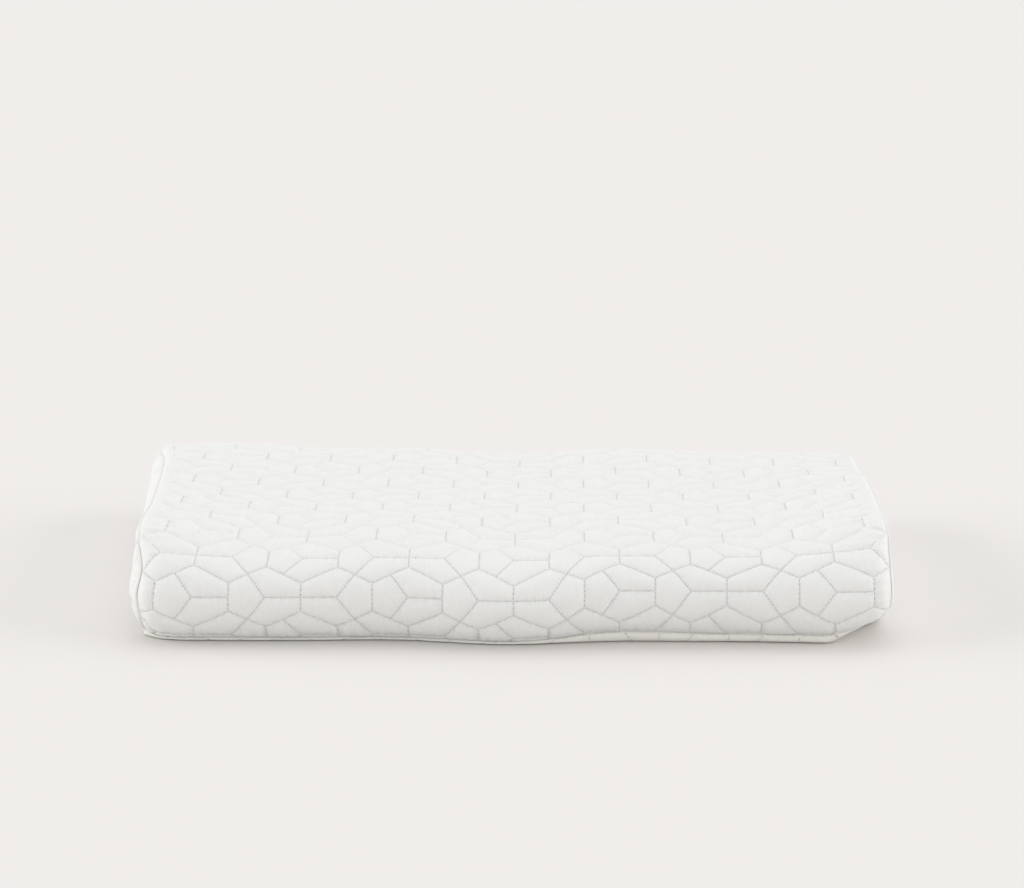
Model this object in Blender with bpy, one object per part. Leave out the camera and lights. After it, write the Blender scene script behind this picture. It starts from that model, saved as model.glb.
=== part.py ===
"""A contoured neck pillow in a quilted cover, lying on its base. Metres, +Z up.

The cover is cut as one long panel for the front, top and back, two shaped end panels and a base
panel. The long panel is modelled with the filling as one body. A place on it is given on the flat
cloth as (column, row): a column is one quilted cell across the pillow's length (+X), a row is one
row of cells from the front (-Y) to the back (+Y).
"""
import math

import bmesh
import bpy
import numpy as np
from mathutils.geometry import delaunay_2d_cdt

# Quilted cells: width of a cell, height of its straight side, pitch of the rows
CELL = 0.056
HALF_SIDE = 0.20 * CELL
HALF_CELL = 0.48 * CELL
ROW = HALF_SIDE + HALF_CELL
SPOKE_PERIOD = 3

# Long panel: its four cut edges, in columns and rows, and where the pillow's centre lies on it
FRONT_EDGE = -1.14
FRONT_EDGE_RIGHT = -1.06
BACK_EDGE = 11.35
LEFT_EDGE = -0.23
LEFT_EDGE_PER_ROW = -0.05
RIGHT_EDGE = 10.24
RIGHT_EDGE_PER_ROW = 0.020
MIDDLE_COLUMN = 5.0
CENTRE_COLUMN = 4.7283
CENTRE_ROW = 5.2546

# Heights above the surface, and thickness of the sewn-on panels
SEAM_HEIGHT = 0.0025
PANEL_THICKNESS = 0.0030
RIM_THICKNESS = 0.0012
GAP = 0.0003

# Puff of a quilted cell and how soon it rises beside a stitched line
PUFF = 0.0028
PUFF_RISE = 0.0045

# How far cloth is drawn in at the end seams and the foot seam, and over what width
SEAM_DRAW = 0.0045
FOOT_DRAW = 0.0015
SEAM_DRAW_WIDTH = 0.014

# How far the filling pushes out each end at three heights, and how soon beside the seam
LEFT_BULGE = (0.0015, 0.0070, 0.0010)
RIGHT_BULGE = (0.0005, 0.0005, -0.0045)
END_BULGE_HEIGHTS = (0.010, 0.035, 0.070)
END_BULGE_RISE = 0.011

# Cross-section from the front seam over the nose to the back seam
PROFILE = (  # (row, slope in degrees)
    (-1.14, 132),
    (-0.85, 124),
    (-0.50, 112),
    (0.00, 76),
    (0.50, 37),
    (1.00, 18),
    (1.50, 10),
    (2.50, 4),
    (3.50, 0),
    (5.00, -1),
    (6.00, 1),
    (7.00, 1.5),
    (8.00, 0),
    (8.60, -5),
    (9.00, -13),
    (9.30, -25),
    (9.70, -48),
    (10.15, -78),
    (10.65, -98),
    (11.35, -124),
)

# The top is higher toward the two ends, most of all just behind the nose
END_LIFT = (  # (row, lift of the left end, lift of the right end)
    (-1.14, 0.000, 0.000),
    (0.00, 0.000, 0.001),
    (1.00, 0.004, 0.008),
    (2.00, 0.009, 0.014),
    (4.00, 0.006, 0.012),
    (6.00, 0.003, 0.007),
    (8.00, 0.000, 0.000),
    (11.35, 0.000, 0.000),
)
END_LIFT_COLUMNS = 2.0
END_LIFT_LIMIT = 1.15

# The end seams wander in and out a little
END_WANDER = (  # (row, outward at the left, outward at the right)
    (-1.14, 0.0030, 0.000),
    (-0.10, 0.0028, 0.001),
    (0.60, -0.0020, 0.000),
    (1.00, 0.0000, 0.000),
    (1.50, 0.0035, 0.001),
    (2.20, 0.0050, 0.001),
    (4.00, 0.0010, 0.000),
    (7.00, 0.0000, -0.001),
    (9.00, 0.0010, -0.004),
    (11.35, 0.0010, -0.002),
)

# Soft waves along the pillow, at the top's front and back, and of the foot seam
WAVES = (  # (column, rise behind the nose, rise at the back, rise of the foot seam, nose pushed forward)
    (-0.4, 0.0000, 0.0005, 0.0000, 0.000),
    (0.6, 0.0000, 0.0015, 0.0000, 0.001),
    (1.8, -0.0010, -0.0005, 0.0000, 0.000),
    (3.2, 0.0030, 0.0010, 0.0000, -0.003),
    (4.9, -0.0020, -0.0045, 0.0000, 0.007),
    (6.6, 0.0015, 0.0015, 0.0035, -0.004),
    (8.3, 0.0000, -0.0020, 0.0015, -0.005),
    (9.3, 0.0000, -0.0015, 0.0015, -0.003),
    (10.3, 0.0000, -0.0030, 0.0195, 0.000),
)

WAVE_ROWS_BEHIND_NOSE = (0.3, 2.0, 2.0, 5.0)
WAVE_ROWS_AT_BACK = (5.0, 8.0, 9.6, 11.0)
WAVE_ROWS_AT_FOOT = (-1.14, -0.30)
WAVE_ROWS_FORWARD = (-0.20, 1.10)

# The cloth lies a little higher round the right half of the nose
PULL_UP = 0.15
PULL_UP_COLUMNS = (5.3, 6.3)
PULL_UP_ROWS = (-1.35, -0.2, 0.5, 3.0)

# Corner at the back left, drawn out behind
BACK_CORNER_REACH = 0.022
BACK_CORNER_SIDEWAYS = 0.008
BACK_CORNER_RISE = 0.0045
BACK_CORNER_COLUMNS = (2.8, 0.7)
BACK_CORNER_REACH_ROWS = (8.9, 10.3)
BACK_CORNER_SIDEWAYS_ROWS = (8.0, 10.0)
BACK_CORNER_RISE_ROWS = (8.8, 9.7, 9.7, 11.0)

# Spread of the columns round the nose, and rounding of the plan at the ends
NOSE_SPREAD = 0.005
NOSE_SPREAD_ROWS = (0.0, 3.0)
CORNER_SETBACK = 0.007
CORNER_COLUMNS = 0.55
FRONT_CORNER_ROWS = (0.3, 2.5)
BACK_CORNER_ROUND_ROWS = (9.0, 10.4)

# Steps along the panel's edges and the foot of an end, and spacing of points over an end
LONG_STEPS = 36
SIDE_STEPS = 42
END_STEPS = 22
END_SPACING = (0.022, 0.018)
END_MARGIN = 0.008

# Stitched lines stop short of a panel's edge; a facet's ring of raised points is this much smaller
STITCH_MARGIN = 0.005
PUFF_RING = 0.55
TRIM_STEPS = 15

# Quilting's place on the end panels, and their width of thin rim
END_QUILT_SHIFT = (0.0, 0.045)
END_COLUMNS = range(-9, 9)
END_ROWS = range(-1, 4)
RIM_WIDTH = 0.010

# The underside near its seam: first the filling, then the base panel's outer face
FILLING_FOOT = (  # (inset, inset added at a lifted corner, share of the seam's height)
    (0.000, 0.000, 1.00),
    (0.004, 0.012, 0.70),
    (0.010, 0.026, 0.25),
    (0.020, 0.036, 0.00),
)
PANEL_FOOT = (
    (-0.0010, 0.0000, 1.00),
    (-0.0018, 0.0060, 0.85),
    (-0.0018, 0.0170, 0.58),
    (-0.0008, 0.0290, 0.26),
    (0.0020, 0.0350, 0.05),
    (0.0080, 0.0360, 0.00),
)
LIFTED_SEAM = (0.0095, 0.0195)
LIFTED_SOONER_AT_ENDS = 0.0040
FLAT_CORE = 0.070
END_FOOT_BOW = 0.002

# Colours and roughness of the cloth
COVER_COLOUR = (0.86, 0.86, 0.84, 1.0)
BASE_COLOUR = (0.84, 0.83, 0.79, 1.0)


def smooth_table(table, column, x):
    """A monotone cubic through one column of a table, read at x."""
    knots = np.array([line[0] for line in table], float)
    values = np.array([line[column] for line in table], float)
    slopes = np.diff(values) / np.diff(knots)
    tangents = np.zeros(len(knots))
    same_way = slopes[:-1] * slopes[1:] > 0
    pair = slopes[:-1] + slopes[1:]
    tangents[1:-1][same_way] = (2 * slopes[:-1] * slopes[1:])[same_way] / pair[same_way]
    tangents[0] = slopes[0]
    tangents[-1] = slopes[-1]
    x = np.clip(x, knots[0], knots[-1])
    i = np.clip(np.searchsorted(knots, x) - 1, 0, len(slopes) - 1)
    span = knots[i + 1] - knots[i]
    u = (x - knots[i]) / span
    rise = values[i + 1] - values[i]
    from_start = tangents[i] * span * u * (1 - u) ** 2
    from_end = tangents[i + 1] * span * u * u * (u - 1)
    return values[i] + rise * u * u * (3 - 2 * u) + from_start + from_end


def ease(x, start, end):
    """Smooth step from 0 at start to 1 at end, either way round."""
    u = np.clip((x - start) / (end - start), 0, 1)
    return u * u * (3 - 2 * u)


def swell(x, rows):
    """Smooth rise between the first two rows, and fall between the last two."""
    return ease(x, rows[0], rows[1]) * (1 - ease(x, rows[2], rows[3]))


def make_profile():
    """The cross-section's y and z at closely spaced rows, by its slopes."""
    rows = np.linspace(FRONT_EDGE, BACK_EDGE, 1200)
    slope = np.radians(smooth_table(PROFILE, 1, rows))
    step = np.diff(rows) * ROW
    run = np.cumsum((np.cos(slope)[1:] + np.cos(slope)[:-1]) / 2 * step)
    rise = np.cumsum((np.sin(slope)[1:] + np.sin(slope)[:-1]) / 2 * step)
    y = np.concatenate([[0.0], run])
    z = np.concatenate([[0.0], rise]) + SEAM_HEIGHT
    y -= np.interp(CENTRE_ROW, rows, y)
    return rows, y, z


PROFILE_ROWS, PROFILE_Y, PROFILE_Z = make_profile()


def front_edge(column):
    return FRONT_EDGE + (FRONT_EDGE_RIGHT - FRONT_EDGE) * ease(column, *PULL_UP_COLUMNS)


def left_edge(row):
    return LEFT_EDGE + LEFT_EDGE_PER_ROW * row


def right_edge(row):
    return RIGHT_EDGE + RIGHT_EDGE_PER_ROW * row


def panel_place(column, row):
    """The long panel's place in space, without its quilting. Arrays in, an array of points out."""
    pull_up = PULL_UP * ease(column, *PULL_UP_COLUMNS) * swell(row, PULL_UP_ROWS)
    place = np.clip(row + pull_up, FRONT_EDGE, BACK_EDGE)
    y = np.interp(place, PROFILE_ROWS, PROFILE_Y)
    y = y - smooth_table(WAVES, 4, column) * (1 - ease(row, *WAVE_ROWS_FORWARD))
    z = np.interp(place, PROFILE_ROWS, PROFILE_Z)

    x = CELL * (column - CENTRE_COLUMN)
    from_middle = column / MIDDLE_COLUMN - 1
    x = x + NOSE_SPREAD * from_middle ** 3 * (1 - ease(row, *NOSE_SPREAD_ROWS))

    left_end = np.clip(1 - column / END_LIFT_COLUMNS, 0, END_LIFT_LIMIT) ** 2
    right_end = np.clip(1 - (2 * MIDDLE_COLUMN - column) / END_LIFT_COLUMNS, 0, END_LIFT_LIMIT) ** 2
    z = z + smooth_table(END_LIFT, 1, row) * left_end + smooth_table(END_LIFT, 2, row) * right_end

    z = z + smooth_table(WAVES, 1, column) * swell(row, WAVE_ROWS_BEHIND_NOSE)
    z = z + smooth_table(WAVES, 2, column) * swell(row, WAVE_ROWS_AT_BACK)
    z = z + smooth_table(WAVES, 3, column) * (1 - ease(row, *WAVE_ROWS_AT_FOOT))

    near_left = np.clip(1 - (column - left_edge(row)) / CORNER_COLUMNS, 0, 1)
    near_right = np.clip(1 - (right_edge(row) - column) / CORNER_COLUMNS, 0, 1)
    x = x - smooth_table(END_WANDER, 1, row) * near_left ** 1.5
    x = x + smooth_table(END_WANDER, 2, row) * near_right ** 1.5

    back_corner = ease(column, *BACK_CORNER_COLUMNS)
    x = x - BACK_CORNER_SIDEWAYS * back_corner * ease(row, *BACK_CORNER_SIDEWAYS_ROWS)
    y = y + BACK_CORNER_REACH * back_corner * ease(row, *BACK_CORNER_REACH_ROWS)
    z = z + BACK_CORNER_RISE * back_corner * swell(row, BACK_CORNER_RISE_ROWS)
    rounding = CORNER_SETBACK * (near_left ** 2 + near_right ** 2)
    y = y + rounding * (1 - ease(row, *FRONT_CORNER_ROWS)) - rounding * ease(row, *BACK_CORNER_ROUND_ROWS)
    return np.stack([x, y, z], axis=-1)


def panel_normal(column, row):
    """Outward unit normal of the long panel, by small steps along the cloth."""
    step = 0.02
    along = panel_place(column + step, row) - panel_place(column - step, row)
    row_low = np.clip(row - step, FRONT_EDGE, BACK_EDGE)
    row_high = np.clip(row + step, FRONT_EDGE, BACK_EDGE)
    across = panel_place(column, row_high) - panel_place(column, row_low)
    normal = np.cross(along, across)
    return normal / np.linalg.norm(normal, axis=-1, keepdims=True)


def cell_corners(centre, mirrored):
    """Centre of a cell and the eight places round it, counted from its spoked side."""
    side = -1 if mirrored else 1
    across = CELL / 2
    quarter = (HALF_SIDE + HALF_CELL) / 2
    ring = (
        (across, 0.0),
        (across, HALF_SIDE),
        (0.0, HALF_CELL),
        (-across / 2, quarter),
        (-across, HALF_SIDE),
        (-across, -HALF_SIDE),
        (-across / 2, -quarter),
        (0.0, -HALF_CELL),
        (across, -HALF_SIDE),
    )
    return [(centre[0] + side * x, centre[1] + y) for x, y in ring]


def quilt_cells(columns, rows):
    """Each quilted cell: its centre, and the places round it."""
    for row in rows:
        odd = row % 2
        for k in columns:
            centre = ((k + 0.5 - 0.5 * odd) * CELL, row * ROW)
            mirrored = k % SPOKE_PERIOD == (1 if odd else 2)
            yield centre, cell_corners(centre, mirrored)


def cell_facets(centre, ring):
    """The three puffed facets of a cell, each between two of its spokes."""
    yield [centre, ring[0], ring[1], ring[2], ring[3]]
    yield [centre, ring[3], ring[4], ring[5], ring[6]]
    yield [centre, ring[6], ring[7], ring[8], ring[0]]


def middle(a, b):
    return ((a[0] + b[0]) / 2, (a[1] + b[1]) / 2)


def stitch_lines(columns, rows):
    """Every stitched line once, cut at the middles where a spoke may end."""
    lines = {}
    for centre, ring in quilt_cells(columns, rows):
        edges = [(ring[i], ring[(i + 1) % 9]) for i in range(9)]
        spokes = [(centre, ring[0]), (centre, ring[3]), (centre, ring[6])]
        for a, b in edges + spokes:
            length = math.dist(a, b)
            halves = [(a, middle(a, b)), (middle(a, b), b)] if length > 0.6 * HALF_CELL else [(a, b)]
            for p, q in halves:
                key = tuple(sorted(((round(p[0], 5), round(p[1], 5)), (round(q[0], 5), round(q[1], 5)))))
                lines[key] = (p, q)
    return list(lines.values())


BLOCK_LINES = np.array(stitch_lines(range(-1, 5), range(-1, 4)))


def distance_to_lines(points, lines):
    """Distance of each point to the nearest of the lines."""
    start = lines[:, 0]
    along = lines[:, 1] - start
    offset = points[:, None, :] - start[None]
    share = np.clip((offset * along).sum(-1) / (along * along).sum(-1), 0, 1)
    return np.linalg.norm(offset - share[..., None] * along, axis=-1).min(1)


def stitch_distance(points):
    """Distance to the nearest stitched line, found in one repeat of the quilting."""
    folded = points.copy()
    folded[:, 0] %= SPOKE_PERIOD * CELL
    folded[:, 1] %= 2 * ROW
    return distance_to_lines(folded, BLOCK_LINES)


def inside_outline(points, outline):
    """Which points lie within a closed outline, by counting its crossings."""
    x, y = points[:, 0:1], points[:, 1:2]
    start, end = outline, np.roll(outline, -1, axis=0)
    straddles = (start[:, 1] > y) != (end[:, 1] > y)
    height = np.where(end[:, 1] == start[:, 1], 1.0, end[:, 1] - start[:, 1])
    crossing = start[:, 0] + (y - start[:, 1]) / height * (end[:, 0] - start[:, 0])
    return (straddles & (x < crossing)).sum(1) % 2 == 1


def outline_distance(points, outline):
    """Distance of each point to a closed outline."""
    return distance_to_lines(points, np.stack([outline, np.roll(outline, -1, axis=0)], axis=1))


def well_inside(points, outline, margin):
    return inside_outline(points, outline) & (outline_distance(points, outline) > margin)


def quilt_mesh(outline, columns, rows, shift=(0.0, 0.0)):
    """Flat triangles of a quilted panel: its outline, stitched lines and the puffs between them.

    Returns the flat points, the outline's first, and the triangles.
    """
    points = [tuple(p) for p in outline]
    count = len(points)
    edges = [(i, (i + 1) % count) for i in range(count)]
    known = {}

    def add(p):
        key = (round(p[0], 5), round(p[1], 5))
        if key not in known:
            known[key] = len(points)
            points.append(tuple(p))
        return known[key]

    shift = np.array(shift)
    for p, q in stitch_lines(columns, rows):
        samples = np.linspace(np.array(p) + shift, np.array(q) + shift, TRIM_STEPS)
        kept = samples[well_inside(samples, outline, STITCH_MARGIN)]
        if len(kept) > TRIM_STEPS // 4:
            edges.append((add(kept[0]), add(kept[-1])))
    for centre, ring in quilt_cells(columns, rows):
        for facet in cell_facets(centre, ring):
            corners = np.array(facet) + shift
            heart = corners.mean(0)
            puff = np.vstack([[heart], heart + PUFF_RING * (corners - heart)])
            for p in puff[well_inside(puff, outline, STITCH_MARGIN)]:
                add(p)
    result = delaunay_2d_cdt(points, edges, [], 1, 1e-6)
    flat = np.array([tuple(p) for p in result[0]])
    order = [sources[0] if sources else None for sources in result[3]]
    outline_index = {source: i for i, source in enumerate(order) if source is not None and source < count}
    lead = [outline_index[i] for i in range(count)]
    rest = [i for i in range(len(flat)) if i not in set(lead)]
    renumber = {old: new for new, old in enumerate(lead + rest)}
    triangles = [tuple(renumber[i] for i in face) for face in result[2]]
    return flat[lead + rest], triangles


def puff_height(points, edge_distance, shift=(0.0, 0.0)):
    """Height of the quilting over the cloth's own surface."""
    nearest = np.minimum(stitch_distance(points - np.array(shift)), edge_distance)
    return PUFF * (1 - np.exp(-nearest / PUFF_RISE))


def long_panel():
    """Points and triangles of the long panel; its outline's points come first."""
    front_columns = np.linspace(left_edge(FRONT_EDGE), right_edge(FRONT_EDGE_RIGHT), LONG_STEPS + 1)[:-1]
    back_columns = np.linspace(right_edge(BACK_EDGE), left_edge(BACK_EDGE), LONG_STEPS + 1)[:-1]
    right_rows = np.linspace(FRONT_EDGE_RIGHT, BACK_EDGE, SIDE_STEPS + 1)[:-1]
    left_rows = np.linspace(BACK_EDGE, FRONT_EDGE, SIDE_STEPS + 1)[:-1]
    outline = np.vstack([
        np.column_stack([front_columns, front_edge(front_columns)]),
        np.column_stack([right_edge(right_rows), right_rows]),
        np.column_stack([back_columns, np.full(LONG_STEPS, BACK_EDGE)]),
        np.column_stack([left_edge(left_rows), left_rows]),
    ])
    outline = outline * (CELL, ROW)
    flat, triangles = quilt_mesh(outline, range(-2, 12), range(-2, 12))
    column, row = flat[:, 0] / CELL, flat[:, 1] / ROW
    to_ends = CELL * np.minimum(column - left_edge(row), right_edge(row) - column)
    to_foot = ROW * np.minimum(row - front_edge(column), BACK_EDGE - row)
    height = puff_height(flat, np.clip(np.minimum(to_ends, to_foot), 0, None))
    height -= SEAM_DRAW * np.clip(1 - to_ends / SEAM_DRAW_WIDTH, 0, 1) ** 2
    height -= FOOT_DRAW * np.clip(1 - to_foot / SEAM_DRAW_WIDTH, 0, 1) ** 2
    return panel_place(column, row) + height[:, None] * panel_normal(column, row), triangles


def base_run(start, end):
    """The seam along the foot of one end, from one corner to the next."""
    share = np.linspace(0, 1, END_STEPS + 1)[1:-1, None]
    run = start + (end - start) * share
    sag = 4 * share[:, 0] * (1 - share[:, 0])
    outward = np.sign(start[0])
    run[:, 0] += outward * END_FOOT_BOW * sag
    run[:, 2] = np.minimum(run[:, 2], SEAM_HEIGHT + (run[:, 2] - SEAM_HEIGHT) * (1 - sag) ** 2)
    return run


def end_x(edge, places, outward, bulge):
    """How far out an end stands at flat (y, z) places: a straight end that meets its wavy edge."""
    slope, middle_x = np.polyfit(edge[:, 1], edge[:, 0], 1)
    straight = middle_x + slope * places[:, 0]
    gap = np.linalg.norm(places[:, None, :] - edge[None, :, 1:], axis=-1)
    weight = 1 / (gap + 1e-6) ** 3
    at_edge = (weight * edge[:, 0]).sum(1) / weight.sum(1)
    distance = outline_distance(places, edge[:, 1:])
    x = straight + (at_edge - straight) * np.exp(-distance / END_BULGE_RISE)
    push = np.interp(places[:, 1], END_BULGE_HEIGHTS, bulge)
    return x + outward * push * (1 - np.exp(-distance / END_BULGE_RISE)), distance


def end_face(edge, outward, bulge):
    """A plain filled end: flat (y, z) places, their x, and triangles. The edge's points come first."""
    outline = edge[:, 1:]
    low, high = outline.min(0), outline.max(0)
    depths = np.arange(low[0] + END_SPACING[0], high[0], END_SPACING[0])
    levels = np.arange(low[1] + END_SPACING[1], high[1], END_SPACING[1])
    grid = np.array([(y, z) for y in depths for z in levels])
    grid = grid[well_inside(grid, outline, END_MARGIN)]
    places = np.vstack([outline, grid])
    count = len(outline)
    ring = [(i, (i + 1) % count) for i in range(count)]
    result = delaunay_2d_cdt([tuple(p) for p in places], ring, [], 1, 1e-6)
    triangles = [tuple(result[3][i][0] for i in face) for face in result[2]]
    x = np.concatenate([edge[:, 0], end_x(edge, grid, outward, bulge)[0]])
    return np.column_stack([x, places]), triangles


def end_panel_outer(edge, outward, bulge):
    """The quilted outer face of an end panel; the edge's points come first."""
    outline = edge[:, 1:]
    flat, triangles = quilt_mesh(outline, END_COLUMNS, END_ROWS, END_QUILT_SHIFT)
    x, distance = end_x(edge, flat, outward, bulge)
    x[: len(edge)] = edge[:, 0]
    distance[: len(edge)] = 0.0
    thickness = RIM_THICKNESS + (PANEL_THICKNESS - RIM_THICKNESS) * ease(distance, 0.0, RIM_WIDTH)
    x = x + outward * (GAP + thickness + puff_height(flat, distance, END_QUILT_SHIFT))
    return np.column_stack([x, flat]), triangles


def base_rings(loop, foot, table):
    """Rings inward from the seam loop, sinking by a table to the flat base at height foot."""
    half = np.abs(loop[:, :2]).max(0) - FLAT_CORE
    direction = np.clip(loop[:, :2], -half, half) - loop[:, :2]
    direction /= np.linalg.norm(direction, axis=1, keepdims=True)
    start = LIFTED_SEAM[0] - LIFTED_SOONER_AT_ENDS * np.abs(direction[:, 0])
    lifted = np.clip((loop[:, 2] - start) / (LIFTED_SEAM[1] - start), 0, 1)
    rings = []
    for inset, more, share in table:
        ring = loop.copy()
        ring[:, :2] += direction * (inset + more * lifted)[:, None]
        ring[:, 2] = foot + (loop[:, 2] - foot) * share
        rings.append(ring)
    return rings


def add_ring_faces(bm, rings):
    """Quads between rings, and a flat cap over the last."""
    layers = [[bm.verts.new(p) for p in ring] for ring in rings]
    count = len(layers[0])
    for outer, inner in zip(layers, layers[1:]):
        for i in range(count):
            k = (i + 1) % count
            bm.faces.new((outer[i], outer[k], inner[k], inner[i]))
    bm.faces.new(layers[-1])


def add_triangles(bm, points, triangles):
    verts = [bm.verts.new(p) for p in points]
    for face in triangles:
        bm.faces.new([verts[i] for i in face])


def cloth_material(name, colour):
    material = bpy.data.materials.new(name)
    material.use_nodes = True
    surface = material.node_tree.nodes["Principled BSDF"]
    surface.inputs["Base Color"].default_value = colour
    surface.inputs["Roughness"].default_value = 0.9
    surface.inputs["Metallic"].default_value = 0.0
    return material


def finish_solid(bm, name, colour, collection):
    """Welds a closed solid, turns its faces outward and puts it in the scene."""
    bmesh.ops.remove_doubles(bm, verts=bm.verts[:], dist=0.00001)
    bmesh.ops.triangulate(bm, faces=bm.faces[:])
    bmesh.ops.recalc_face_normals(bm, faces=bm.faces[:])
    if bm.calc_volume(signed=True) < 0:
        bmesh.ops.reverse_faces(bm, faces=bm.faces[:])
    mesh = bpy.data.meshes.new(name)
    bm.to_mesh(mesh)
    bm.free()
    mesh.shade_smooth()
    mesh.materials.append(cloth_material(name + "_cloth", colour))
    solid = bpy.data.objects.new(name, mesh)
    collection.objects.link(solid)
    return solid


def make_body(panel, triangles, ends, loop, collection):
    """The filling in its long panel, closed by its two ends and its underside."""
    bm = bmesh.new()
    add_triangles(bm, panel, triangles)
    for places, faces in ends:
        add_triangles(bm, places, faces)
    add_ring_faces(bm, base_rings(loop, PANEL_THICKNESS + GAP, FILLING_FOOT))
    return finish_solid(bm, "pillow_body", COVER_COLOUR, collection)


def make_end_panel(name, edge, outward, bulge, inner, collection):
    """An end panel: quilted outside, and inside a gap away from the filling."""
    bm = bmesh.new()
    places, faces = inner
    add_triangles(bm, places + (outward * GAP, 0, 0), faces)
    outer, outer_faces = end_panel_outer(edge, outward, bulge)
    add_triangles(bm, outer, outer_faces)
    count = len(edge)
    inner_rim = [bm.verts.new(p) for p in places[:count] + (outward * GAP, 0, 0)]
    outer_rim = [bm.verts.new(p) for p in outer[:count]]
    for i in range(count):
        k = (i + 1) % count
        bm.faces.new((inner_rim[i], inner_rim[k], outer_rim[k], outer_rim[i]))
    return finish_solid(bm, name, COVER_COLOUR, collection)


def make_base(loop, collection):
    """The base panel: a shallow tray under the seam, flat where it rests."""
    bm = bmesh.new()
    rim = loop - (0, 0, GAP)
    top = base_rings(rim, PANEL_THICKNESS, FILLING_FOOT)
    under = base_rings(rim, 0.0, PANEL_FOOT)
    add_ring_faces(bm, top)
    add_ring_faces(bm, under)
    inner_rim = [bm.verts.new(p) for p in top[0]]
    outer_rim = [bm.verts.new(p) for p in under[0]]
    count = len(loop)
    for i in range(count):
        k = (i + 1) % count
        bm.faces.new((inner_rim[i], inner_rim[k], outer_rim[k], outer_rim[i]))
    return finish_solid(bm, "base_panel", BASE_COLOUR, collection)


def build():
    for old in list(bpy.data.objects):
        bpy.data.objects.remove(old)
    collection = bpy.data.collections.new("cervical_pillow")
    bpy.context.scene.collection.children.link(collection)

    panel, triangles = long_panel()
    front = panel[: LONG_STEPS + 1]
    right = panel[LONG_STEPS : LONG_STEPS + SIDE_STEPS + 1]
    half_round = LONG_STEPS + SIDE_STEPS
    back = panel[half_round : half_round + LONG_STEPS + 1]
    left = np.vstack([panel[half_round + LONG_STEPS : 2 * half_round], panel[:1]])

    right_foot = base_run(front[-1], back[0])
    left_foot = base_run(back[-1], front[0])
    loop = np.vstack([front, right_foot, back, left_foot])

    right_rim = np.vstack([right, right_foot[::-1]])
    left_rim = np.vstack([left, left_foot[::-1]])
    right_end = end_face(right_rim, 1, RIGHT_BULGE)
    left_end = end_face(left_rim, -1, LEFT_BULGE)

    make_body(panel, triangles, (left_end, right_end), loop, collection)
    make_end_panel("end_panel_left", left_rim, -1, LEFT_BULGE, left_end, collection)
    make_end_panel("end_panel_right", right_rim, 1, RIGHT_BULGE, right_end, collection)
    make_base(loop, collection)


build()
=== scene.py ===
"""Looks of a contoured neck pillow in a quilted knit cover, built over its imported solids.

A place on the long panel is given on the flat cloth as (column, row), as in the solids: a column
is one quilted cell across the pillow's length (+X), a row is one row of cells from the front (-Y)
to the back (+Y). Every quilted panel is laid out flat, cut into fine triangles that follow its
stitched lines, and then put in its place with its puffs raised. Metres, +Z up.
"""
import math

import bmesh
import bpy
import numpy as np
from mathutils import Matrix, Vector, noise
from mathutils.geometry import delaunay_2d_cdt


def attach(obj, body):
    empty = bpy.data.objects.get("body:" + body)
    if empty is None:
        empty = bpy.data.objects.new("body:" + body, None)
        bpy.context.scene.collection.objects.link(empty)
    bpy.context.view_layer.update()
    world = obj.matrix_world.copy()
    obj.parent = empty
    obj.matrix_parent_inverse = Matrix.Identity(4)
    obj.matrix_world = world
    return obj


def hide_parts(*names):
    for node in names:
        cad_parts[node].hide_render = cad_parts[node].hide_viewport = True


# Quilted cells: width of a cell, height of its straight side, pitch of the rows
CELL = 0.056
HALF_SIDE = 0.20 * CELL
HALF_CELL = 0.48 * CELL
ROW = HALF_SIDE + HALF_CELL
SPOKE_PERIOD = 3

# Long panel: its four cut edges, in columns and rows, and where the pillow's centre lies on it
FRONT_EDGE = -1.14
FRONT_EDGE_RIGHT = -1.06
BACK_EDGE = 11.35
LEFT_EDGE = -0.23
LEFT_EDGE_PER_ROW = -0.05
RIGHT_EDGE = 10.24
RIGHT_EDGE_PER_ROW = 0.020
MIDDLE_COLUMN = 5.0
CENTRE_COLUMN = 4.7283
CENTRE_ROW = 5.2546

# Heights above the surface, and thickness of the sewn-on panels
SEAM_HEIGHT = 0.0025
PANEL_THICKNESS = 0.0030
RIM_THICKNESS = 0.0012
GAP = 0.0003

# Puff of a quilted cell: its height, how soon it rises beside a stitched line, and its crisp share
PUFF = 0.0024
PUFF_RISE = 0.0045
CREASE = 0.34
CREASE_RISE = 0.0010
CREASE_SOFTENING = 0.25

# How far cloth is drawn in at the end seams and the foot seam, and over what width
SEAM_DRAW = 0.0045
FOOT_DRAW = 0.0015
SEAM_DRAW_WIDTH = 0.014

# How far the filling pushes out each end at three heights, and how soon beside the seam
LEFT_BULGE = (0.0015, 0.0070, 0.0010)
RIGHT_BULGE = (0.0005, 0.0005, -0.0045)
END_BULGE_HEIGHTS = (0.010, 0.035, 0.070)
END_BULGE_RISE = 0.011

# Cross-section from the front seam over the nose to the back seam
PROFILE = (  # (row, slope in degrees)
    (-1.14, 132),
    (-0.85, 124),
    (-0.50, 112),
    (0.00, 76),
    (0.50, 37),
    (1.00, 18),
    (1.50, 10),
    (2.50, 4),
    (3.50, 0),
    (5.00, -1),
    (6.00, 1),
    (7.00, 1.5),
    (8.00, 0),
    (8.60, -5),
    (9.00, -13),
    (9.30, -25),
    (9.70, -48),
    (10.15, -78),
    (10.65, -98),
    (11.35, -124),
)

PROFILE_SAMPLES = 1200
NORMAL_STEP = 0.02

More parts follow.
